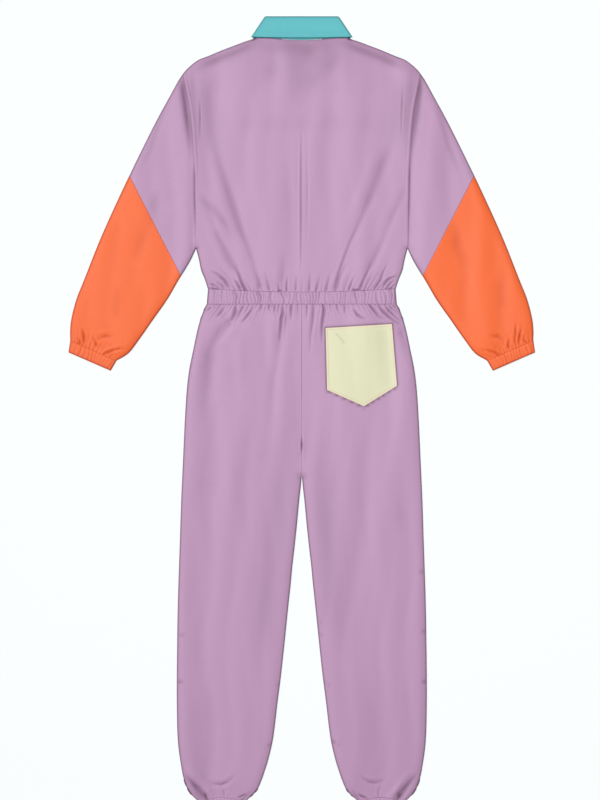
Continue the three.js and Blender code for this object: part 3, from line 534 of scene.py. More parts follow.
class Socket:
    # one output of a node; sums, differences and products of these add Math nodes
    def __init__(self, tree, socket):
        self.tree, self.socket = tree, socket

    def math(self, operation, *others):
        # a Math node with this output first
        inputs = {index: value for index, value in enumerate((self,) + others)}
        return self.tree.node("ShaderNodeMath", dict(operation=operation), inputs)

    def swapped(self, operation, other):
        # a Math node with this output second, as in 1 - mask
        return self.tree.node("ShaderNodeMath", dict(operation=operation), {0: other, 1: self})

    def __add__(self, other):
        return self.math("ADD", other)

    def __sub__(self, other):
        return self.math("SUBTRACT", other)

    def __mul__(self, other):
        return self.math("MULTIPLY", other)

    def __rsub__(self, other):
        return self.swapped("SUBTRACT", other)

    __radd__ = __add__
    __rmul__ = __mul__


class Finish:
    # one material and its nodes
    def __init__(self, name):
        self.material = bpy.data.materials.new(name)
        self.material.use_nodes = True
        self.nodes = self.material.node_tree.nodes
        self.links = self.material.node_tree.links
        self.nodes.clear()

    def node(self, kind, settings=None, inputs=None, output=0):
        # any node: its settings first, then a value or a link for each socket
        made = self.nodes.new(kind)
        for key, value in (settings or {}).items():
            setattr(made, key, value)
        for key, value in (inputs or {}).items():
            if isinstance(value, Socket):
                self.links.new(value.socket, made.inputs[key])
            else:
                made.inputs[key].default_value = value
        return Socket(self, made.outputs[output]) if made.outputs else made

    def blend(self, first, second, factor):
        # a colour between two
        inputs = {0: factor, 6: first, 7: second}
        return self.node("ShaderNodeMix", dict(data_type="RGBA"), inputs, 2)

    def surface(self, **inputs):
        # the Principled shader, its sockets named in camelCase
        names = dict(baseColor="Base Color", roughness="Roughness", normal="Normal",
                     sheenWeight="Sheen Weight", sheenRoughness="Sheen Roughness",
                     specularLevel="Specular IOR Level", emissionColor="Emission Color",
                     emissionStrength="Emission Strength")
        shader = self.node("ShaderNodeBsdfPrincipled",
                           inputs={names[key]: value for key, value in inputs.items()})
        self.node("ShaderNodeOutputMaterial", inputs={"Surface": shader})
        return self.material


def linear(red, green, blue):
    # screen colour of 0 to 255 a channel as light
    c = np.array([red, green, blue]) / 255
    light = np.where(c <= 0.04045, c / 12.92, ((c + 0.055) / 1.055) ** 2.4)
    return tuple(float(v) for v in light) + (1.0,)


def scaled(color, factor):
    # a darker or lighter colour: each channel times the factor
    return tuple(channel * factor for channel in color[:3]) + (1.0,)


def paintedShadeColor(color):
    # painted shade colour that the crease attribute darkens towards, as light passed from fold to fold:
    # 0.35 of each channel to the power 1.65
    return tuple(0.35 * channel ** 1.65 for channel in color[:3]) + (1.0,)


# Smooth nylon: threads a third of a millimetre apart, faint bars and cloudiness from the dye, and
# small crinkles
cloths = dict(
    lilac=dict(color=linear(195, 154, 190), sheen=0.15, roughness=0.5),
    orange=dict(color=linear(255, 112, 54), sheen=0.07, roughness=0.5),
    aqua=dict(color=linear(93, 195, 202), sheen=0.18, roughness=0.5),
    paleYellow=dict(color=linear(230, 229, 194), sheen=0.2, roughness=0.55),
)
weave = dict(
    pitch=0.00034, height=0.000012, crinkle=0.00007, barHeight=0.000012,   # metres
    weftScale=(14, 900, 1), warpScale=(700, 9, 1),      # noise stretched along each thread direction
    cloudScale=(60, 5, 1), crinkleScale=(110, 26, 1),
    # crease: how much the painted shade of the crease attribute shows
    cloud=0.48, bars=0.4, threads=0.1, crease=0.63,     # how much each shows in the colour
    dark=0.93, light=1.07,
)
# painted highlight along the pocket's folded edge
pocketEdgeHighlight = (243, 226, 196)   # the folded edge of the pocket


def streaks(m, at, scale, detail, **inputs):
    # noise of one scale along and another across the cloth
    place = m.node("ShaderNodeMapping", inputs={"Vector": at, "Scale": scale})
    return m.node("ShaderNodeTexNoise", inputs={"Vector": place, "Scale": 1.0, "Detail": detail, **inputs})


def clothFinish(name, color, sheen, roughness):
    # colour = cloth colour, a little darker or lighter by clouds, bars and the weave, then mixed towards a
    # painted shade colour by the crease attribute and towards a painted highlight by the border attribute;
    # height = sine of warp times sine of weft, plus bars and crinkles
    m = Finish(name)
    at = m.node("ShaderNodeUVMap", dict(uv_map="cloth"))
    across = m.node("ShaderNodeSeparateXYZ", inputs={0: at}, output=0)
    down = m.node("ShaderNodeSeparateXYZ", inputs={0: at}, output=1)
    turns = 2 * math.pi / weave["pitch"]
    threads = (across * turns).math("SINE") * (down * turns).math("SINE")
    bars = streaks(m, at, weave["weftScale"], 2.0) + streaks(m, at, weave["warpScale"], 2.0) - 1.0
    clouds = streaks(m, at, weave["cloudScale"], 3.0) - 0.5
    small = streaks(m, at, weave["crinkleScale"], 4.0, Distortion=0.4)
    factor = clouds * weave["cloud"] + bars * weave["bars"] + threads * weave["threads"] + 0.5
    crease = m.node("ShaderNodeAttribute", dict(attribute_name="crease"), output=2)
    tone = m.blend(scaled(color, weave["dark"]), scaled(color, weave["light"]), factor)
    # painted shade from the crease attribute, towards a darker colour
    shade = m.blend(tone, paintedShadeColor(color), crease * weave["crease"])
    # painted highlight along the pocket's folded edge, from the border attribute
    border = m.node("ShaderNodeAttribute", dict(attribute_name="border"), output=2)
    shade = m.blend(shade, linear(*pocketEdgeHighlight), border * 0.8)
    height = threads * weave["height"] + bars * weave["barHeight"] + small * weave["crinkle"]
    normal = m.node("ShaderNodeBump", inputs={"Height": height, "Distance": 1.0, "Strength": 1.0})
    return m.surface(baseColor=shade, roughness=clouds * 0.12 + roughness, normal=normal,
                     sheenWeight=sheen, sheenRoughness=0.45, specularLevel=0.35)


materials = {key: clothFinish(f"{key}Nylon", **look) for key, look in cloths.items()}
threads = {key: Finish(f"{key}Thread").surface(baseColor=scaled(look["color"], 0.88), roughness=0.6)
           for key, look in cloths.items()}
plastic = Finish("lilacPlastic").surface(baseColor=linear(176, 138, 172), roughness=0.35)
print("jumpsuit: finishes made")


# Painted shade, which soft light can't give on relief this low, kept in each sheet's crease attribute
shadeForm = dict(
    near=5, nearDepth=0.45, far=24, farDepth=1.3,   # rounds of averaging, and the depth that is fully dark
    hollow=0.75, steep=0.8, steepFrom=0.08, steepTo=0.7,
    # rim and edge: painted shade along the outline, a thin dark one and a broad faint one
    rim=0.95, rimReach=2.3, edge=0.13, edgeReach=9,   # thin dark edge, and a broad faint one
    contact=0.95, rimExtra=0.35, deepestExtra=0.55,   # the last two go past full dark
)


def bordered(grid, closed):
    # the grid with a row and a column more on every side, repeated, or joined round where it is closed
    rest = [(0, 0)] * (grid.ndim - 2)
    grid = np.pad(grid, [(1, 1), (0, 0)] + rest, mode="edge")
    return np.pad(grid, [(0, 0), (1, 1)] + rest, mode="wrap" if closed else "edge")


def paintedShade(points, closed, coverShadows):
    # painted shade, 0 to 1 a point, and more in the darkest places: how far it lies below the mean of the
    # points round it, near and further off, how steep it is, how near the garment's outline, and how near
    # the edge of cloth that lies on it; the third argument holds that edge, its reach and the height under
    # which it counts. The light that each leaves is multiplied, and what is missing is painted as shade.
    k = shadeForm
    wide = bordered(points, closed)
    normal = np.cross(wide[2:, 1:-1] - wide[:-2, 1:-1], wide[1:-1, 2:] - wide[1:-1, :-2])
    steep = 1 - np.abs(normal[..., 2]) / np.maximum(np.linalg.norm(normal, axis=-1), 1e-9)
    mean = points[..., 2]
    hollow = np.zeros(mean.shape)
    for turn in range(1, k["far"] + 1):
        wide = bordered(mean, closed)
        mean = (wide[1:-1, :-2] + wide[1:-1, 2:] + wide[:-2, 1:-1] + wide[2:, 1:-1]) / 4
        if turn in (k["near"], k["far"]):
            full = k["nearDepth"] if turn == k["near"] else k["farDepth"]
            hollow = np.maximum(hollow, np.clip((mean - points[..., 2]) / full, 0, 1))
    x, y = points[..., 0], points[..., 1]
    beside = distanceTo(edges, np.abs(x), y)
    rim = k["rim"] * np.exp(-(beside / k["rimReach"]) ** 2)
    deepest = foldSums(x, y)[1]
    light = (1 - k["hollow"] * hollow) * (1 - k["steep"] * smoothStep(steep, k["steepFrom"], k["steepTo"]))
    light = light * (1 - rim) * (1 - k["edge"] * np.exp(-(beside / k["edgeReach"]) ** 2)) * (1 - deepest)
    # painted shade beside the edge of cloth that lies on this one
    for edge, reach, top in coverShadows:
        contact = k["contact"] * (points[..., 2] < top) * np.exp(-(nearest(edge, x, y)[0] / reach) ** 2)
        light = light * (1 - contact)
        deepest = np.maximum(deepest, contact)
    return 1 - light + k["rimExtra"] * rim + k["deepestExtra"] * deepest ** 5


def sheetMesh(name, points, grain, closed=False, coverShadows=()):
    # grid of points (rows, columns, xyz) in millimetres as a mesh of quads; grain holds each point's
    # place on the cloth, in millimetres, as the UV map. A closed row joins its last column to its first.
    rows, columns = points.shape[:2]
    number = np.arange(rows * columns).reshape(rows, columns)
    across = np.c_[number, number[:, :1]] if closed else number
    quads = np.stack([across[:-1, :-1], across[:-1, 1:], across[1:, 1:], across[1:, :-1]], -1)
    quads = quads.reshape(-1, 4)
    mesh = bpy.data.meshes.new(name)
    mesh.vertices.add(rows * columns)
    mesh.vertices.foreach_set("co", (points * mm).reshape(-1).astype(np.float32))
    mesh.loops.add(quads.size)
    mesh.loops.foreach_set("vertex_index", quads.reshape(-1).astype(np.int32))
    mesh.polygons.add(len(quads))
    mesh.polygons.foreach_set("loop_start", np.arange(0, quads.size, 4, dtype=np.int32))
    mesh.polygons.foreach_set("use_smooth", np.ones(len(quads), bool))
    mesh.update(calc_edges=True)
    layer = mesh.uv_layers.new(name="cloth")
    layer.data.foreach_set("uv", (grain.reshape(-1, 2)[quads.reshape(-1)] * mm).reshape(-1))
    # painted shade for every point, kept in the crease attribute
    crease = mesh.attributes.new("crease", "FLOAT", "POINT")
    crease.data.foreach_set("value", paintedShade(points, closed, coverShadows).reshape(-1).astype(np.float32))
    return mesh


def addPiece(name, mesh, finish, nodes, thick=None):
    # an object at the origin: its finish, its cloth's thickness, and what it stands for
    piece = bpy.data.objects.new(name, mesh)
    bpy.context.collection.objects.link(piece)
    mesh.materials.append(finish)
    if thick:
        shell = piece.modifiers.new("cloth", "SOLIDIFY")
        shell.thickness = thick * mm
        shell.offset = -1
    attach(piece, "root")
    if nodes:
        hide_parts(*nodes)
    return piece


def facing(points, up):
    # the grid with its rows turned round where its faces would look the wrong way
    a = points[1, 1] - points[0, 0]
    b = points[0, 1] - points[1, 0]
    looksUp = np.sum(a[0] * b[1] - a[1] * b[0]) < 0
    return looksUp == up


def addSheet(name, points, grain, finish, nodes, up=True, closed=False, thick=None, coverShadows=()):
    # a grid as cloth, its outer face up, or down for the garment's front
    middle = points[points.shape[0] // 2:, points.shape[1] // 4:]
    if not facing(middle, up):
        points, grain = points[::-1], grain[::-1]
    mesh = sheetMesh(name, points, grain, closed, coverShadows)
    return addPiece(name, mesh, materials[finish], nodes, thick or garment["ply"])


def withHeight(flat, z):
    # places on the surface and their heights as points
    return np.concatenate([flat, z[..., None]], -1)


# Collar: stand inside and fall outside, over the back of the neck and out to two front leaves
collarLook = dict(
    rollHalf=71, rollY=762.6, freeHalf=97.5, freeY=722.9, freeBow=1.4, frontRollY=693,
    pointX=60, pointY=622, frontPower=1.7, frontEnd=0.075, thick=1.3,
    frontCount=29, turnCount=15, backCount=98,   # stations round the neck
)
freeX = np.linspace(-1, 1, 21)
freeEdge = np.stack([collarLook["freeHalf"] * freeX,
                     collarLook["freeY"] - collarLook["freeBow"] * (1 - freeX ** 2) - 0.6], -1)


# The half bodice: u from the centre to the armhole and side, v from the neck to the waist
underarmV = 0.8


def bodiceGrid(startX, neckAt, u, v):
    # flat places of one half between these four edges
    armX = shoulderEdge[-1][0]

    def top(t):
        # the neck, then the shoulder
        x = mix(startX, armX, t)
        y = np.where(x < neck["half"], neckAt(x), np.interp(x, shoulder[:, 0], shoulder[:, 1]))
        return np.stack([x, y], -1)

    def bottom(t):
        # the waist seam
        x = mix(startX, sideSeam[-1][0], t)
        return np.stack([x, waistSeamY(x)], -1)

    def centre(t):
        # straight down from the neck
        topY = float(neckAt(startX))
        return np.stack([np.full(t.shape, startX), mix(topY, waistSeamY(startX), t)], -1)

    def side(t):
        # the armhole down from the shoulder, then the side seam
        upper = armhole(1 - np.clip(t / underarmV, 0, 1))
        lower = sideEdge(np.clip((t - underarmV) / (1 - underarmV), 0, 1))
        return np.where((t <= underarmV)[:, None], upper, lower)

    return coonsPatch(top, bottom, centre, side, u, v)


armholeLine = armhole(fine)
armholeLines = [armholeLine, mirrored(armholeLine)]
waistX = np.linspace(-casing["topHalf"], casing["topHalf"], 41)
waistLine = np.stack([waistX, waistSeamY(waistX)], -1)
yoke = dict(width=6.5, rise=0.45, groove=0.4)   # seam allowance stitched down beside the armhole


def stitchedBand(distance, width, rise, groove):
    # raised strip beside a seam that ends in a stitched groove
    strip = smoothStep(distance, 0.2, 1.6) - smoothStep(distance, width - 0.8, width + 1.6)
    return rise * strip - groove * np.exp(-((distance - width) / 0.9) ** 2)


def radialPlace(x, distance):
    # gathers fan out: their place on the seam, traced back from x at a distance from it
    return x * np.exp(-distance / 210)


bodiceLook = dict(pitch=7.6, gatherHeight=1.25, gatherReach=13, arms=0.35, waist=0.25)


def backBodiceHeight(x, y):
    # back height with the waist's gathers and the seam allowance beside each armhole
    down = y - waistSeamY(x)
    gathers = gatherHeight(radialPlace(x, down), down, 11, bodiceLook["pitch"],
                           bodiceLook["gatherHeight"], bodiceLook["gatherReach"])
    gathers = gathers * (0.5 + 0.5 * smoothStep(np.abs(x), 40, 115))
    band = stitchedBand(distanceTo(armholeLines, x, y), **yoke) * smoothStep(y, 380, 520)
    seams = [(line, bodiceLook["arms"]) for line in armholeLines] + [(waistLine, bodiceLook["waist"])]
    return backHeight(x, y, gathers, seams) + band


def backBodiceSurface(u, v):
    # both halves side by side; u runs from -1 to 1
    half = bodiceGrid(0.0, backNeckY, np.abs(u), v)
    flat = half * np.stack([np.where(u < 0, -1.0, 1.0), np.ones(u.shape)], -1)[None]
    return withHeight(flat, backBodiceHeight(flat[..., 0], flat[..., 1])), flat


def addBackBodice():
    # rows and columns are closer at its edges
    half = spread(180, (0, 170, 176, 180), (1.3, 1.3, 0.8, 0.4))
    u = np.r_[-half[:0:-1], half]
    v = spread(480, (0, 3, 14, 30, 370, 410, 474, 480), (0.4, 1.2, 2.4, 4.2, 4.2, 2.2, 1.6, 0.4))
    points, grain = backBodiceSurface(u, v)
    # painted shade on the bodice along the collar's free edge
    piece = addSheet("backBodice", points, grain, "lilac", ["back_bodice"],
                     coverShadows=[(freeEdge, 1.7, 99)])


def addFrontBodice(hand, side):
    # one front from the zip to the side, its outer face down
    startX = zipPlace["half"] + garment["gap"]
    flat = bodiceGrid(startX, lambda x: neckY(neck["frontY"], x), graded(222, 9), graded(440, 9))
    flat = flat * (side, 1)
    points = withHeight(flat, frontHeight(flat[..., 0], flat[..., 1]))
    piece = addSheet(f"frontBodice{hand.title()}", points, flat, "lilac",
                     [f"front_bodice_{hand}"], up=False)


# Trouser panels: rows of constant height, bowed near the ankle
trouserLook = dict(pitch=7.2, gatherHeight=1.3, gatherReach=12, hemPitch=6.2, hemHeight=0.45, hemReach=12,
                   centre=0.5, waist=0.25, hem=0.4)


def trouserGrid(u, rowY, centreX):
    # flat places: u goes from the centre or the inner leg to the outer edge
    low = np.where(rowY > crotchY, centreX,
                   np.maximum(np.interp(-rowY, -legInner[:, 1], legInner[:, 0]), centreX))
    high = np.interp(-rowY, -legOuter[:, 1], legOuter[:, 0])
    bow = np.clip((rowY + 700) / (ankle["sideY"] + 700), 0, 1) ** 2
    x = mix(low[:, None], high[:, None], u[None])
    y = rowY[:, None] + bow[:, None] * ankle["bow"] * (4 * u * (1 - u))[None]
    return np.stack([x, y], -1)


# Patch pocket on the right back: five corners, a folded edge with a painted highlight along it, and edge
# stitching
pocketLook = dict(corners=dict(topLeft=(45.5, 165), topRight=(173, 172.8), right=(182.8, 53.8),
                               tip=(119.4, 14.4), left=(48.4, 46)),
                  thick=1.2, rise=1.5, edgeRound=1.6, border=3.4, borderFrom=2.0, borderTo=4.2,
                  step=2.0, tipAt=0.53)
pocketOutline = np.array([pocketLook["corners"][key]
                          for key in ("topLeft", "topRight", "right", "tip", "left", "topLeft")])
centreSeam = np.array([(0.0, casing["bottomY"]), (0.0, crotchY)])
waistBottomLine = np.array([(-190.0, casing["bottomY"]), (190.0, casing["bottomY"])])
hemU = np.linspace(0, 1, 17)
ankleLine = np.stack([ankle["centreX"] + ankle["half"] * (2 * hemU - 1), hemY(hemU)], -1)


def trouserBackSurface(side, u, rowY):
    # back height with gathers at the waist and the ankle, and less loft at the ankle
    flat = trouserGrid(u, rowY, garment["seamGap"]) * (side, 1)
    x, y = flat[..., 0], flat[..., 1]
    k = trouserLook
    down = np.maximum(casing["bottomY"] - y, 0)
    across = np.broadcast_to(u[None], x.shape)
    waist = gatherHeight(radialPlace(x, down), down, 21 + side, k["pitch"], k["gatherHeight"],
                         k["gatherReach"])
    up = np.maximum(y - hemY(across), 0)
    hem = gatherHeight(ankle["half"] * (2 * across - 1), up, 31 + side, k["hemPitch"], k["hemHeight"],
                       k["hemReach"])
    seams = [(centreSeam, k["centre"]), (waistBottomLine, k["waist"]), (ankleLine * (side, 1), k["hem"])]
    cinch = 1 - 0.4 * np.exp(-(up / 26) ** 2)
    return withHeight(flat, backHeight(x, y, waist + hem, seams, cinch)), flat


def addTrouserBack(hand, side):
    # painted shade darkens its colour along the pocket
    u = spread(190, (0, 2, 5, 184, 188, 190), (0.4, 0.8, 1.4, 1.4, 0.8, 0.4))
    down = spread(956, (0, 2, 70, 130, 840, 890, 950, 956), (0.4, 1.6, 1.8, 6.4, 6.4, 2.2, 1.8, 0.4))
    rows = mix(casing["bottomY"] - 0.05, ankle["sideY"] + 0.05, down)
    points, grain = trouserBackSurface(side, u, rows)
    piece = addSheet(f"trouserBack{hand.title()}", points, grain, "lilac",
                     [f"trouser_back_{hand}"], coverShadows=[(pocketOutline, 3.2, 99)])


def addTrouserFront(hand, side):
    # its centre edge keeps clear of the zip as far down as the zip goes
    ends = zipPlace["bottomY"] + np.array([1.0, -1.0])
    rows = np.r_[mix(casing["bottomY"] - 0.15, ankle["sideY"] + 0.15, graded(956, 9)), ends]
    rows = np.sort(rows)[::-1]
    centreX = np.where(rows > zipPlace["bottomY"], zipPlace["half"] + garment["gap"], garment["gap"] / 2)
    flat = trouserGrid(graded(215, 9), rows, centreX) * (side, 1)
    points = withHeight(flat, frontHeight(flat[..., 0], flat[..., 1]))
    piece = addSheet(f"trouserFront{hand.title()}", points, flat, "lilac",
                     [f"trouser_front_{hand}"], up=False)


def tubeGrid(flatAt, over, under, v, upper):
    # flattened tube: each ring goes over the back along u, then returns along the flat front;
    # both layers close at the fold height along their edges
    top, bottom = flatAt(over, v), flatAt(under[::-1], v)
    zTop = upper(top[..., 0], top[..., 1], np.broadcast_to(over[None], top.shape[:2]), v[:, None])
    zBottom = frontHeight(bottom[..., 0], bottom[..., 1])
    flat = np.concatenate([top, bottom[:, 1:-1]], 1)
    z = np.concatenate([zTop, zBottom[:, 1:-1]], 1)
    return withHeight(flat, z), flat


def turned(flat, origin, angle):
    # the same places read along a sleeve's own grain
    c, s = math.cos(angle), math.sin(angle)
    x, y = flat[..., 0] - origin[0], flat[..., 1] - origin[1]
    return np.stack([c * x + s * y, -s * x + c * y], -1)


seamInner = innerSleeve(colourSeam["inner"])
seamOuter = outerSleeve(colourSeam["outer"])
slantLine = np.array([seamInner, seamOuter])
wristLine = np.array([innerSleeve(1.0), outerSleeve(1.0)])
sleeveLook = dict(turn=math.radians(28), troughDepth=2.2, trough=4.5, pitch=6.6, gatherHeight=1.2,
                  gatherReach=12, arm=0.35, slant=0.5, wrist=0.06)


def upperSleeveSurface(side, over, under, v):
    # tube from the armhole to the slanted seam
    def flatAt(u, t):
        line = coonsPatch(armhole, lineThrough(seamInner, seamOuter),
                          lambda q: innerSleeve(q * colourSeam["inner"]),
                          lambda q: outerSleeve(q * colourSeam["outer"]), u, t)
        return line * (side, 1)

    def upper(x, y, u, t):
        # back height, and lower beside the armhole
        beside = nearest(armholeLine, np.abs(x), y)[0]
        reach = beside / sleeveLook["trough"]
        trough = -sleeveLook["troughDepth"] * reach * np.exp(1 - reach)
        seams = [(armholeLine * (side, 1), sleeveLook["arm"]), (slantLine * (side, 1), sleeveLook["slant"])]
        return backHeight(x, y, trough, seams)

    return tubeGrid(flatAt, over, under, v, upper)


def addUpperSleeve(hand, side):
    # its threads run down the sleeve
    down = spread(150, (0, 3, 24, 50, 145, 150), (0.4, 1.2, 1.6, 3.0, 3.0, 0.4))
    points, flat = upperSleeveSurface(side, graded(337, 3.0), graded(337, 14, 0.45, 2.2), down)
    grain = turned(flat, (side * 203, 317), side * sleeveLook["turn"])
    piece = addSheet(f"upperSleeve{hand.title()}", points, grain, "lilac",
                     [f"sleeve_upper_{hand}"], closed=True)


def lowerSleeveSurface(side, over, under, v):
    # tube from the slanted seam to the wrist
    def flatAt(u, t):
        line = coonsPatch(lineThrough(seamInner, seamOuter), lineThrough(*wristLine),
                          lambda q: innerSleeve(mix(colourSeam["inner"], 1, q)),
                          lambda q: outerSleeve(mix(colourSeam["outer"], 1, q)), u, t)
        return line * (side, 1)

    def upper(x, y, u, t):
        # back height with gathers at the wrist, and less loft there
        away = nearest(wristLine, np.abs(x), y)[0]
        gathers = gatherHeight((u - 0.5) * 94, away, 41 + side, sleeveLook["pitch"],
                               sleeveLook["gatherHeight"], sleeveLook["gatherReach"])
        cinch = 1 - 0.45 * np.exp(-(away / 24) ** 2)
        seams = [(slantLine * (side, 1), sleeveLook["slant"]), (wristLine * (side, 1), sleeveLook["wrist"])]
        return backHeight(x, y, gathers, seams, cinch)

    return tubeGrid(flatAt, over, under, v, upper)


def addLowerSleeve(hand, side):
    # its threads run down the sleeve
    down = spread(290, (0, 3, 20, 220, 250, 286, 290), (0.4, 1.6, 3.6, 3.6, 1.8, 1.4, 0.4))
    points, flat = lowerSleeveSurface(side, graded(170, 1.8), graded(170, 14, 0.45, 2.2), down)
    grain = turned(flat, (side * 203, 317), side * sleeveLook["turn"])
    piece = addSheet(f"lowerSleeve{hand.title()}", points, grain, "orange",
                     [f"sleeve_lower_{hand}"], closed=True)


# Elastic cuffs: short tubes whose back stands in ruches between two stitched edges
cuffLook = dict(base=4.3, rise=1.5, ruche=0.7, edge=0.15)


def rucheHeight(place, seed, pitch, height):
    # ridges of uneven width and height, side by side
    return gatherHeight(place, np.zeros(place.shape), seed, pitch, height, 1.0)


def cuffSurface(topAt, hemAt, span, pitch, seed, over, under, v):
    # span is the width of its flat back, and pitch that of a ruche
    def flatAt(u, t):
        return mix(topAt(u)[None], hemAt(u)[None], t[:, None, None])

    top, bottom = flatAt(over, v), flatAt(under[::-1], v)
    u, t = np.broadcast_to(over[None], top.shape[:2]), v[:, None]
    fromSide = np.minimum(u, 1 - u) * span
    across = np.minimum(t, 1 - t) * 21
    level = cuffLook["rise"] * quarterRound(fromSide, 9) * (0.55 + 0.45 * quarterRound(across, 6))
    ruches = rucheHeight((u - 0.5) * span + 1.2 * np.sin(t * 4 + u * 9), seed, pitch,
                         cuffLook["ruche"]) * quarterRound(fromSide, 6)
    zTop = (garment["foldZ"] + (cuffLook["base"] - garment["foldZ"]) * quarterRound(fromSide, 3)
            + level + ruches * (0.5 + 0.5 * quarterRound(across, 4))
            - cuffLook["edge"] * (1 - quarterRound(across, 1.8)))
    fromSideBelow = np.minimum(under, 1 - under)[::-1] * span
    zBottom = garment["foldZ"] * (1 - quarterRound(fromSideBelow, 3))[None] + 0 * bottom[..., 0]
    flat = np.concatenate([top, bottom[:, 1:-1]], 1)
    z = np.concatenate([zTop, zBottom[:, 1:-1]], 1)
    return withHeight(flat, z), flat


def addSleeveCuff(hand, side):
    # from the wrist line to the cuff's end, with one sewn row
    wrist = lineThrough(*wristLine)
    hem = lineThrough(cuffHem["inner"], cuffHem["outer"])
    over = graded(91, 1.15, 0.4)
    down = np.array(cuffHem["inner"]) - wristLine[0]
    gap = down / np.linalg.norm(down) * garment["seamGap"]
    points, flat = cuffSurface(lambda u: (wrist(u) + gap) * (side, 1), lambda u: hem(u) * (side, 1),
                               91, 6.6, 51 + side, over, graded(91, 8, 0.4, 1.9),
                               graded(21, 1.3, 0.35))
    sleeveRows.append(points[-6, 4:len(over) - 4] + (0, 0, 0.08))
    grain = turned(flat, (side * 366, 84), side * sleeveLook["turn"])
    piece = addSheet(f"sleeveCuff{hand.title()}", points, grain, "orange",
                     [f"sleeve_cuff_{hand}"], closed=True)


def addAnkleCuff(hand, side):
    # from the trouser leg's end to the hem, with one sewn row
    def top(u):
        # the trouser leg's end
        x = ankle["centreX"] + ankle["half"] * (2 * u - 1)
        return np.stack([x, hemY(u) - garment["seamGap"]], -1) * (side, 1)

    def hem(u):
        # the garment's lower end
        x = ankle["centreX"] + ankle["half"] * (2 * u - 1)
        return np.stack([x, np.full(u.shape, ankle["hemY"])], -1) * (side, 1)

    over = graded(88, 1.15, 0.4)
    points, grain = cuffSurface(top, hem, 88, 6.0, 61 + side, over, graded(88, 8, 0.4, 1.9),
                                graded(24, 1.3, 0.35))
    bodyRows.append(points[-6, 4:len(over) - 4] + (0, 0, 0.08))
    piece = addSheet(f"ankleCuff{hand.title()}", points, grain, "lilac",
                     [f"ankle_cuff_{hand}"], closed=True)


waistLook = dict(base=4.5, rise=1.6, ruche=1.4, pitch=6.4, edge=0.3, dentLean=3, dentReach=2.2)
# deeper dents in the casing: x of each, and its depth
waistDents = dict(
    x=(-168, -151, -127, -104, -80, -59, -36, -30, -9, 14, 34, 58, 84, 104, 121, 143, 159, 172),
    depth=(1.0, 0.8, 1.9, 0.7, 1.6, 1.5, 1.8, 1.6, 0.8, 0.9, 0.8, 1.0, 0.9, 1.6, 0.9, 1.0, 1.2, 1.6),
)


def waistCasingSurface():
    # strip from the zip round one side, over the back and round the other side to the zip again
    gap = zipPlace["half"] + garment["gap"]
    turn = np.radians(np.linspace(-90, 90, 13))
    radius = garment["foldZ"]
    front = np.linspace(0, 1, 20)[:-1]
    back = 1 - 2 * np.linspace(0, 1, 290)[1:-1]
    t = graded(27, 1.35, 0.35)[:, None]
    width = mix(casing["topHalf"], casing["bottomHalf"], t) - radius
    xs = np.concatenate([mix(gap, width, front[None]), width + radius * np.cos(turn)[None],
                         width * back[None], -(width + radius * np.cos(turn[::-1])[None]),
                         -mix(gap, width, front[None, ::-1])], 1)
    across = np.minimum(t, 1 - t) * 27
    fromSide = (1 - np.abs(back))[None] * width
    place = width * back[None] + 1.5 * np.sin(t * 4.5 + back[None] * 23)
    ruches = rucheHeight(place, 71, waistLook["pitch"], waistLook["ruche"])
    ruches = ruches * (0.65 + 0.35 * np.sin(place / 29 + 1) * np.sin(place / 12.5))
    for x, depth in zip(waistDents["x"], waistDents["depth"]):
        away = np.abs(place - x - waistLook["dentLean"] * (t - 0.5)) / waistLook["dentReach"]
        ruches = ruches - depth * np.exp(-away ** 1.3) * (1.15 - 0.7 * t)
    level = waistLook["rise"] * (0.5 + 0.5 * quarterRound(across, 7))
    rise = (waistLook["base"] - 2 * radius + level + ruches * (0.6 + 0.4 * quarterRound(across, 5))
            - waistLook["edge"] * (1 - quarterRound(across, 2.2)))
    rise = 0.5 * (rise + np.sqrt(rise ** 2 + 0.2))
    zBack = 2 * radius + quarterRound(fromSide, 12) * rise
    zTurn = radius + radius * np.sin(turn)[None] + 0 * t
    zFront = np.zeros((len(t), len(front)))
    z = np.concatenate([zFront, zTurn, zBack, zTurn[:, ::-1], zFront], 1)
    y = mix(waistSeamY(xs) - garment["seamGap"], casing["bottomY"] + garment["seamGap"], t)
    points = np.stack([xs, y, z], -1)
    run = np.r_[0, np.cumsum(np.abs(np.diff(xs[0])) + np.abs(np.diff(z[0])))]
    grain = np.stack([np.broadcast_to(run[None], xs.shape), y], -1)
    return points, grain


def addWaistCasing():
    # its sewn rows follow grid rows near both edges
    points, grain = waistCasingSurface()
    mesh = sheetMesh("waistCasing", points, grain)
    back = slice(38, points.shape[1] - 38)
    bodyRows.extend(points[row, back] + (0, 0, 0.08) for row in (6, -7))
    piece = addPiece("waistCasing", mesh, materials["lilac"], ["waist_casing"],
                     garment["ply"])


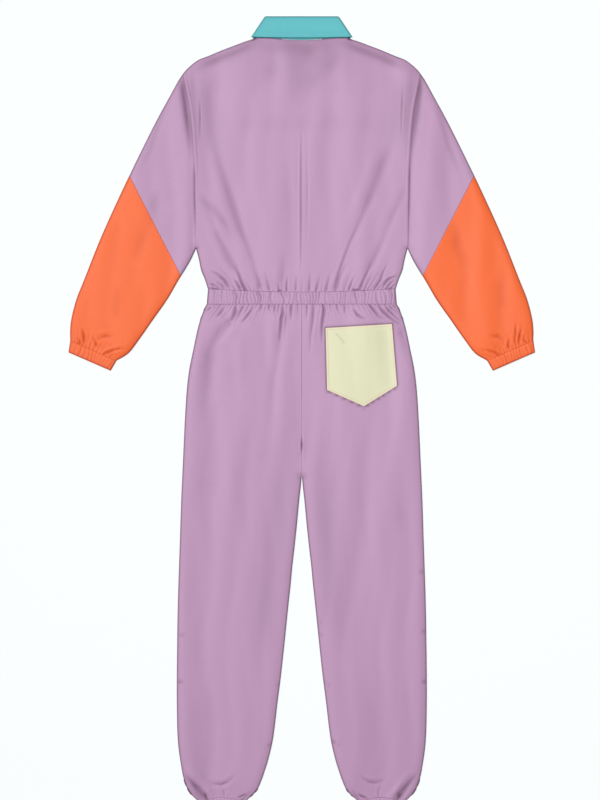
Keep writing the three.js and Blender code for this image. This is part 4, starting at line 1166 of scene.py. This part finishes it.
def collarSurface():
    # each station of the neck carries one section: up the stand, half a circle over the roll, and
    # down the fall. The stations go from one front end round a side, the back and the other side.
    k = collarLook
    outermost = 2 * garment["cloth"] + garment["gap"]
    turnX = outermost + garment["gap"]
    middleZ = turnX
    frontStops = np.linspace(k["frontEnd"], 1, k["frontCount"] + 1)[:-1]
    flatFront, turnStops = np.full(k["frontCount"], -90.0), np.ones(k["turnCount"])
    angles = np.linspace(-90, 90, k["turnCount"])
    backStops = 1 - 2 * np.linspace(0, 1, k["backCount"] + 2)[1:-1]
    x = np.r_[frontStops, turnStops, np.abs(backStops), turnStops, frontStops[::-1]]
    oneSide = np.ones(k["frontCount"] + k["turnCount"])
    sign = np.r_[oneSide, np.where(backStops < 0, -1.0, 1.0), -oneSide]
    angle = np.r_[flatFront, angles, np.full(k["backCount"], 90.0), angles[::-1], flatFront]
    front = angle < 0
    seamHalf = np.full(x.shape, neck["half"] - 0.6)
    seamX = x * neck["half"]
    seamY = np.where(front, neckY(neck["frontY"], seamX), backNeckY(seamX)) + garment["gap"]
    rollHalf = np.full(x.shape, float(k["rollHalf"]))
    rollY = np.where(front, mix(k["frontRollY"], k["rollY"], x ** k["frontPower"]), k["rollY"])
    t = np.clip((x - k["frontEnd"]) / (1 - k["frontEnd"]), 0, 1)
    leaf = mix(k["pointX"], k["freeHalf"] - turnX, t) / x + turnX
    freeHalf = np.where(front, leaf, k["freeHalf"])
    freeY = np.where(front, mix(k["pointY"], k["freeY"], t ** 1.3),
                     k["freeY"] - k["freeBow"] * (1 - x ** 2))
    radius = outermost / 2
    stand = graded(40, 5.0, 0.5, 2.0)[:, None]
    fall = graded(40, 2.6, 0.4)[:, None]
    arc = np.radians(np.linspace(180, 0, 13))[1:-1, None]

    def between(halfA, yA, halfB, yB, fraction, back):
        # from one line round the neck to the next, less the roll's radius, and further on by back
        length = np.hypot((halfA - halfB) * x, yA - yB)
        at = fraction * (1 - radius / length) + back / length
        return mix(halfA, halfB, at), mix(yA, yB, at)

    standHalf, standY = between(seamHalf, seamY, rollHalf, rollY, stand, 0)
    crestHalf, crestY = between(seamHalf, seamY, rollHalf, rollY, np.ones((1, 1)),
                                radius * np.sin(arc))
    fallHalf, fallY = between(rollHalf, rollY, freeHalf, freeY, fall, radius)
    half = np.concatenate([standHalf, crestHalf + 0 * x, fallHalf])
    y = np.concatenate([standY, crestY + 0 * x, fallY])
    offset = np.concatenate([0 * stand, radius + radius * np.cos(arc), outermost + 0 * fall])
    edge = np.concatenate([1 + 0 * stand, 1 + 0 * arc, quarterRound((1 - fall) * 40, 1.2)])
    reach = garment["gap"] + offset - 0.5 * (1 - edge)
    radians = np.radians(angle)[None]
    xs = sign[None] * ((half - turnX) * x[None] + reach * np.cos(radians))
    z = middleZ + reach * np.sin(radians)
    points = np.stack([xs, y, z], -1)
    run = np.r_[0, np.cumsum(np.abs(np.diff(xs[0])) + np.abs(np.diff(z[0])))]
    drop = np.cumsum(np.r_[0, np.hypot(np.diff(y[:, 80]), np.diff(offset[:, 0]))])
    grain = np.stack(np.broadcast_arrays(run[None], drop[:, None]), -1).astype(float)
    return points, grain


def addCollar():
    # its sewn row follows a grid row near the free edge
    points, grain = collarSurface()
    # painted shade on the stand under the fall's free edge
    mesh = sheetMesh("collarCloth", points, grain, coverShadows=[(freeEdge, 3.0, 5.5)])
    collarRows.append(points[-8, 46:-46] + (0, 0, 0.08))
    piece = addPiece("collarCloth", mesh, materials["aqua"], ["collar"],
                     collarLook["thick"])


def pocketHeight(x, y):
    # on the trouser back, rounded at its edge and sunk along its stitching
    inside = nearest(pocketOutline, x, y)[0]
    lift = pocketLook["rise"] - pocketLook["edgeRound"] * 0.5 * (
        1 - quarterRound(inside, pocketLook["edgeRound"]))
    crease = -0.5 * np.exp(-(nearest([(67, 153), (74, 146), (81, 137)], x, y)[0] / 2.2) ** 1.3)
    return (backHeight(x, y) + lift + crease - 0.3 * np.exp(-((inside - pocketLook["border"]) / 0.9) ** 2))


def pocketSurface(u, v):
    # flat patch between the five corners, at the pocket's height
    c = pocketLook["corners"]
    bottom = np.array([c["left"], c["tip"], c["right"]], float)
    start = lineThrough(c["topLeft"], c["topRight"])
    low, high = lineThrough(c["topLeft"], c["left"]), lineThrough(c["topRight"], c["right"])

    def end(t):
        # the lower edge, straight to the tip and from it
        stops = [0, pocketLook["tipAt"], 1]
        return np.stack([np.interp(t, stops, bottom[:, 0]), np.interp(t, stops, bottom[:, 1])], -1)

    flat = coonsPatch(start, end, low, high, u, v)
    return withHeight(flat, pocketHeight(flat[..., 0], flat[..., 1])), flat


def addPocket():
    # its folded border is lighter, a painted highlight in the border attribute: 1 at the edge, 0 further in
    step, tip = pocketLook["step"], pocketLook["tipAt"]
    u = np.r_[graded(70, step) * tip, mix(tip, 1, graded(62, step)[1:])]
    points, grain = pocketSurface(u, graded(120, step))
    piece = addSheet("backPocket", points, grain, "paleYellow", ["back_pocket"],
                     thick=pocketLook["thick"])
    border = piece.data.attributes.new("border", "FLOAT", "POINT")
    at = np.empty(len(piece.data.vertices) * 3, np.float32)
    piece.data.vertices.foreach_get("co", at)
    at = at.reshape(-1, 3) / mm
    inside = nearest(pocketOutline, at[:, 0], at[:, 1])[0]
    value = 1 - smoothStep(inside, pocketLook["borderFrom"], pocketLook["borderTo"])
    border.data.foreach_set("value", value.astype(np.float32))


def addZip():
    # a strip down the front, a little raised at its middle
    rows = graded(628, 12)
    y = mix(zipPlace["topY"], zipPlace["bottomY"], rows)
    x = np.array([-6.0, -2.4, 0.0, 2.4, 6.0])
    flat = np.stack(np.broadcast_arrays(x[None], y[:, None]), -1)
    rise = np.array([0.0, 0.5, 0.6, 0.5, 0.0])[None]
    points = withHeight(flat, frontLift(flat[..., 0], flat[..., 1]) + rise)
    piece = addSheet("zipTape", points, flat, "lilac", ["front_zip"], up=False)


# Small repeated things, joined in one mesh: a pointed thread of four sides, and a block for a tooth
threadForm = dict(
    corners=[(-1, 0, 0), (-0.6, 1, 0), (-0.6, 0, 1), (-0.6, -1, 0), (-0.6, 0, -1), (0.6, 1, 0),
             (0.6, 0, 1), (0.6, -1, 0), (0.6, 0, -1), (1, 0, 0)],
    faces=[(0, 2, 1), (0, 3, 2), (0, 4, 3), (0, 1, 4), (9, 5, 6), (9, 6, 7), (9, 7, 8), (9, 8, 5),
           (1, 2, 6, 5), (2, 3, 7, 6), (3, 4, 8, 7), (4, 1, 5, 8)])
blockForm = dict(
    corners=[(-1, -1, -1), (1, -1, -1), (1, 1, -1), (-1, 1, -1), (-1, -1, 1), (1, -1, 1), (1, 1, 1),
             (-1, 1, 1)],
    faces=[(0, 3, 2, 1), (4, 5, 6, 7), (0, 1, 5, 4), (1, 2, 6, 5), (2, 3, 7, 6), (3, 0, 4, 7)])


def addCopies(name, form, half, centres, ways, finish):
    # each copy has its own centre and way; its side is level and its top is square to both
    way = ways / np.linalg.norm(ways, axis=1)[:, None]
    side = np.stack([-way[:, 1], way[:, 0], np.zeros(len(way))], -1)
    side = side / np.linalg.norm(side, axis=1)[:, None]
    top = np.cross(way, side)
    corner = np.array(form["corners"]) * half
    at = (centres[:, None] + corner[None, :, :1] * way[:, None] + corner[None, :, 1:2] * side[:, None]
          + corner[None, :, 2:] * top[:, None])
    step = len(corner)
    faces = [tuple(step * copy + index for index in face) for copy in range(len(centres))
             for face in form["faces"]]
    mesh = bpy.data.meshes.new(name)
    mesh.from_pydata((at.reshape(-1, 3) * mm).tolist(), [], faces)
    return addPiece(name, mesh, finish, [])


sewing = dict(pitch=2.8, half=(1.05, 0.17, 0.17))


def addSewing(name, paths, cloth):
    # threads at even distances along each path
    centres, ways = [], []
    for path in paths:
        run = np.r_[0, np.cumsum(np.linalg.norm(np.diff(path, axis=0), axis=1))]
        stops = np.arange(sewing["pitch"] / 2, run[-1], sewing["pitch"])
        places = [np.stack([np.interp(stops + shift, run, path[:, axis]) for axis in range(3)], -1)
                  for shift in (-1.0, 0.0, 1.0)]
        centres.append(places[1])
        ways.append(places[2] - places[0])
    addCopies(name, threadForm, sewing["half"], np.concatenate(centres), np.concatenate(ways),
              threads[cloth])


def inset(line, distance):
    # a line moved sideways, to its left where the distance is positive
    line = np.asarray(line, float)
    way = np.gradient(line, axis=0)
    way = way / np.linalg.norm(way, axis=1)[:, None]
    return line + distance * np.stack([-way[:, 1], way[:, 0]], -1)


def insetCorners(corners, distance):
    # a closed shape of straight sides, each side moved inwards; corners run clockwise
    corners = np.asarray(corners, float)[:-1]
    way = np.roll(corners, -1, axis=0) - corners
    way = way / np.linalg.norm(way, axis=1)[:, None]
    inward = np.stack([way[:, 1], -way[:, 0]], -1)
    before, here = np.roll(inward, 1, axis=0), inward
    moved = corners + distance * (before + here) / (1 + np.sum(before * here, axis=1))[:, None]
    return np.vstack([moved, moved[:1]])


def onCloth(line, height):
    # points every half millimetre along a line, lifted to the cloth
    line = np.asarray(line, float)
    run = np.r_[0, np.cumsum(np.linalg.norm(np.diff(line, axis=0), axis=1))]
    stops = np.arange(0, run[-1], 0.5)
    x, y = np.interp(stops, run, line[:, 0]), np.interp(stops, run, line[:, 1])
    return np.stack([x, y, height(x, y) + 0.08], -1)


def addTeeth():
    # a tooth at every step down the zip, left and right in turn
    y = np.arange(zipPlace["bottomY"] + 3, zipPlace["topY"] - 3, 1.3)
    x = np.where(np.arange(len(y)) % 2 == 0, -0.75, 0.75)
    centres = np.stack([x, y, frontLift(x, y) + 0.42], -1)
    ways = np.tile((1.0, 0.0, 0.0), (len(y), 1))
    addCopies("zipTeeth", blockForm, (1.15, 0.5, 0.38), centres, ways, plastic)


# sewn rows picked off the cloth as it is laid out, by the slot they belong to
bodyRows, sleeveRows, collarRows = [], [], []
addCollar()
addBackBodice()
addWaistCasing()
for hand, side in (("left", -1), ("right", 1)):
    addFrontBodice(hand, side)
    addUpperSleeve(hand, side)
    addLowerSleeve(hand, side)
    addSleeveCuff(hand, side)
    addTrouserBack(hand, side)
    addTrouserFront(hand, side)
    addAnkleCuff(hand, side)
addPocket()
addZip()
addTeeth()
pocketSewing = onCloth(insetCorners(pocketOutline, pocketLook["border"]), pocketHeight)
armSewing = [onCloth(inset(line[24:58], -turn * yoke["width"]), backBodiceHeight)
             for line, turn in zip(armholeLines, (-1, 1))]
addSewing("pocketSewing", [pocketSewing], "paleYellow")
addSewing("bodySewing", armSewing + bodyRows, "lilac")
addSewing("sleeveSewing", sleeveRows, "orange")
addSewing("collarSewing", collarRows, "aqua")
bpy.data.objects["zip_slider"].material_slots[0].material = plastic
print("jumpsuit: cloth laid out")

# Camera straight above, framed as the photograph is: ankles cut off by the lower edge
view = dict(width=600, height=800, scale=1.92, centreX=301.8, middleY=414, distance=4.0, sensor=24.0)


def addCamera():
    # the lens makes the photo's height fill the frame at this distance
    camera = bpy.data.objects.new("camera", bpy.data.cameras.new("camera"))
    bpy.context.collection.objects.link(camera)
    camera.data.sensor_fit = "VERTICAL"
    camera.data.sensor_height = view["sensor"]
    camera.data.lens = view["sensor"] * view["distance"] / (view["height"] * view["scale"] * mm)
    camera.location = ((view["width"] / 2 - view["centreX"]) * view["scale"] * mm,
                       (view["middleY"] - view["height"] / 2) * view["scale"] * mm, view["distance"])
    bpy.context.scene.camera = camera


# A broad distant key from the upper left and a soft panel above the shoulders
lamps = dict(
    key=dict(kind="SUN", source=(-0.43, 0.17, 0.88), spread=24, strength=1.78),
    panel=dict(kind="AREA", source=(0.1, 0.5, 2.5), spread=1.5, strength=20.0),
)
ambient = 0.18


def addLamp(name, kind, source, spread, strength):
    # a lamp at its source, turned to the origin
    light = bpy.data.lights.new(name, kind)
    light.energy = strength
    if kind == "SUN":
        light.angle = math.radians(spread)
    else:
        light.shape = "DISK"
        light.size = spread
    lamp = bpy.data.objects.new(name, light)
    bpy.context.collection.objects.link(lamp)
    lamp.location = source
    lamp.rotation_euler = (math.atan2(math.hypot(source[0], source[1]), source[2]), 0,
                           math.atan2(source[1], source[0]) + math.pi / 2)


def addStage():
    # floor with light of its own, and faint light from all round
    mesh = bpy.data.meshes.new("floor")
    reach = 5.0
    mesh.from_pydata([(-reach, -reach, -0.0002), (reach, -reach, -0.0002), (reach, reach, -0.0002),
                      (-reach, reach, -0.0002)], [], [(0, 1, 2, 3)])
    floor = bpy.data.objects.new("floor", mesh)
    bpy.context.collection.objects.link(floor)
    m = Finish("paleFloor")
    mesh.materials.append(m.surface(baseColor=(0.24, 0.24, 0.24, 1), roughness=0.95, specularLevel=0.05,
                                    emissionColor=(0.745, 0.775, 0.775, 1), emissionStrength=1.0))
    world = bpy.data.worlds.new("studio")
    bpy.context.scene.world = world
    world.use_nodes = True
    background = world.node_tree.nodes["Background"]
    background.inputs["Color"].default_value = (1, 1, 0.99, 1)
    background.inputs["Strength"].default_value = ambient
    bpy.context.scene.view_settings.view_transform = "Standard"


addCamera()
addStage()
for name, lamp in lamps.items():
    addLamp(name, **lamp)
print("jumpsuit: camera, floor and lights set")
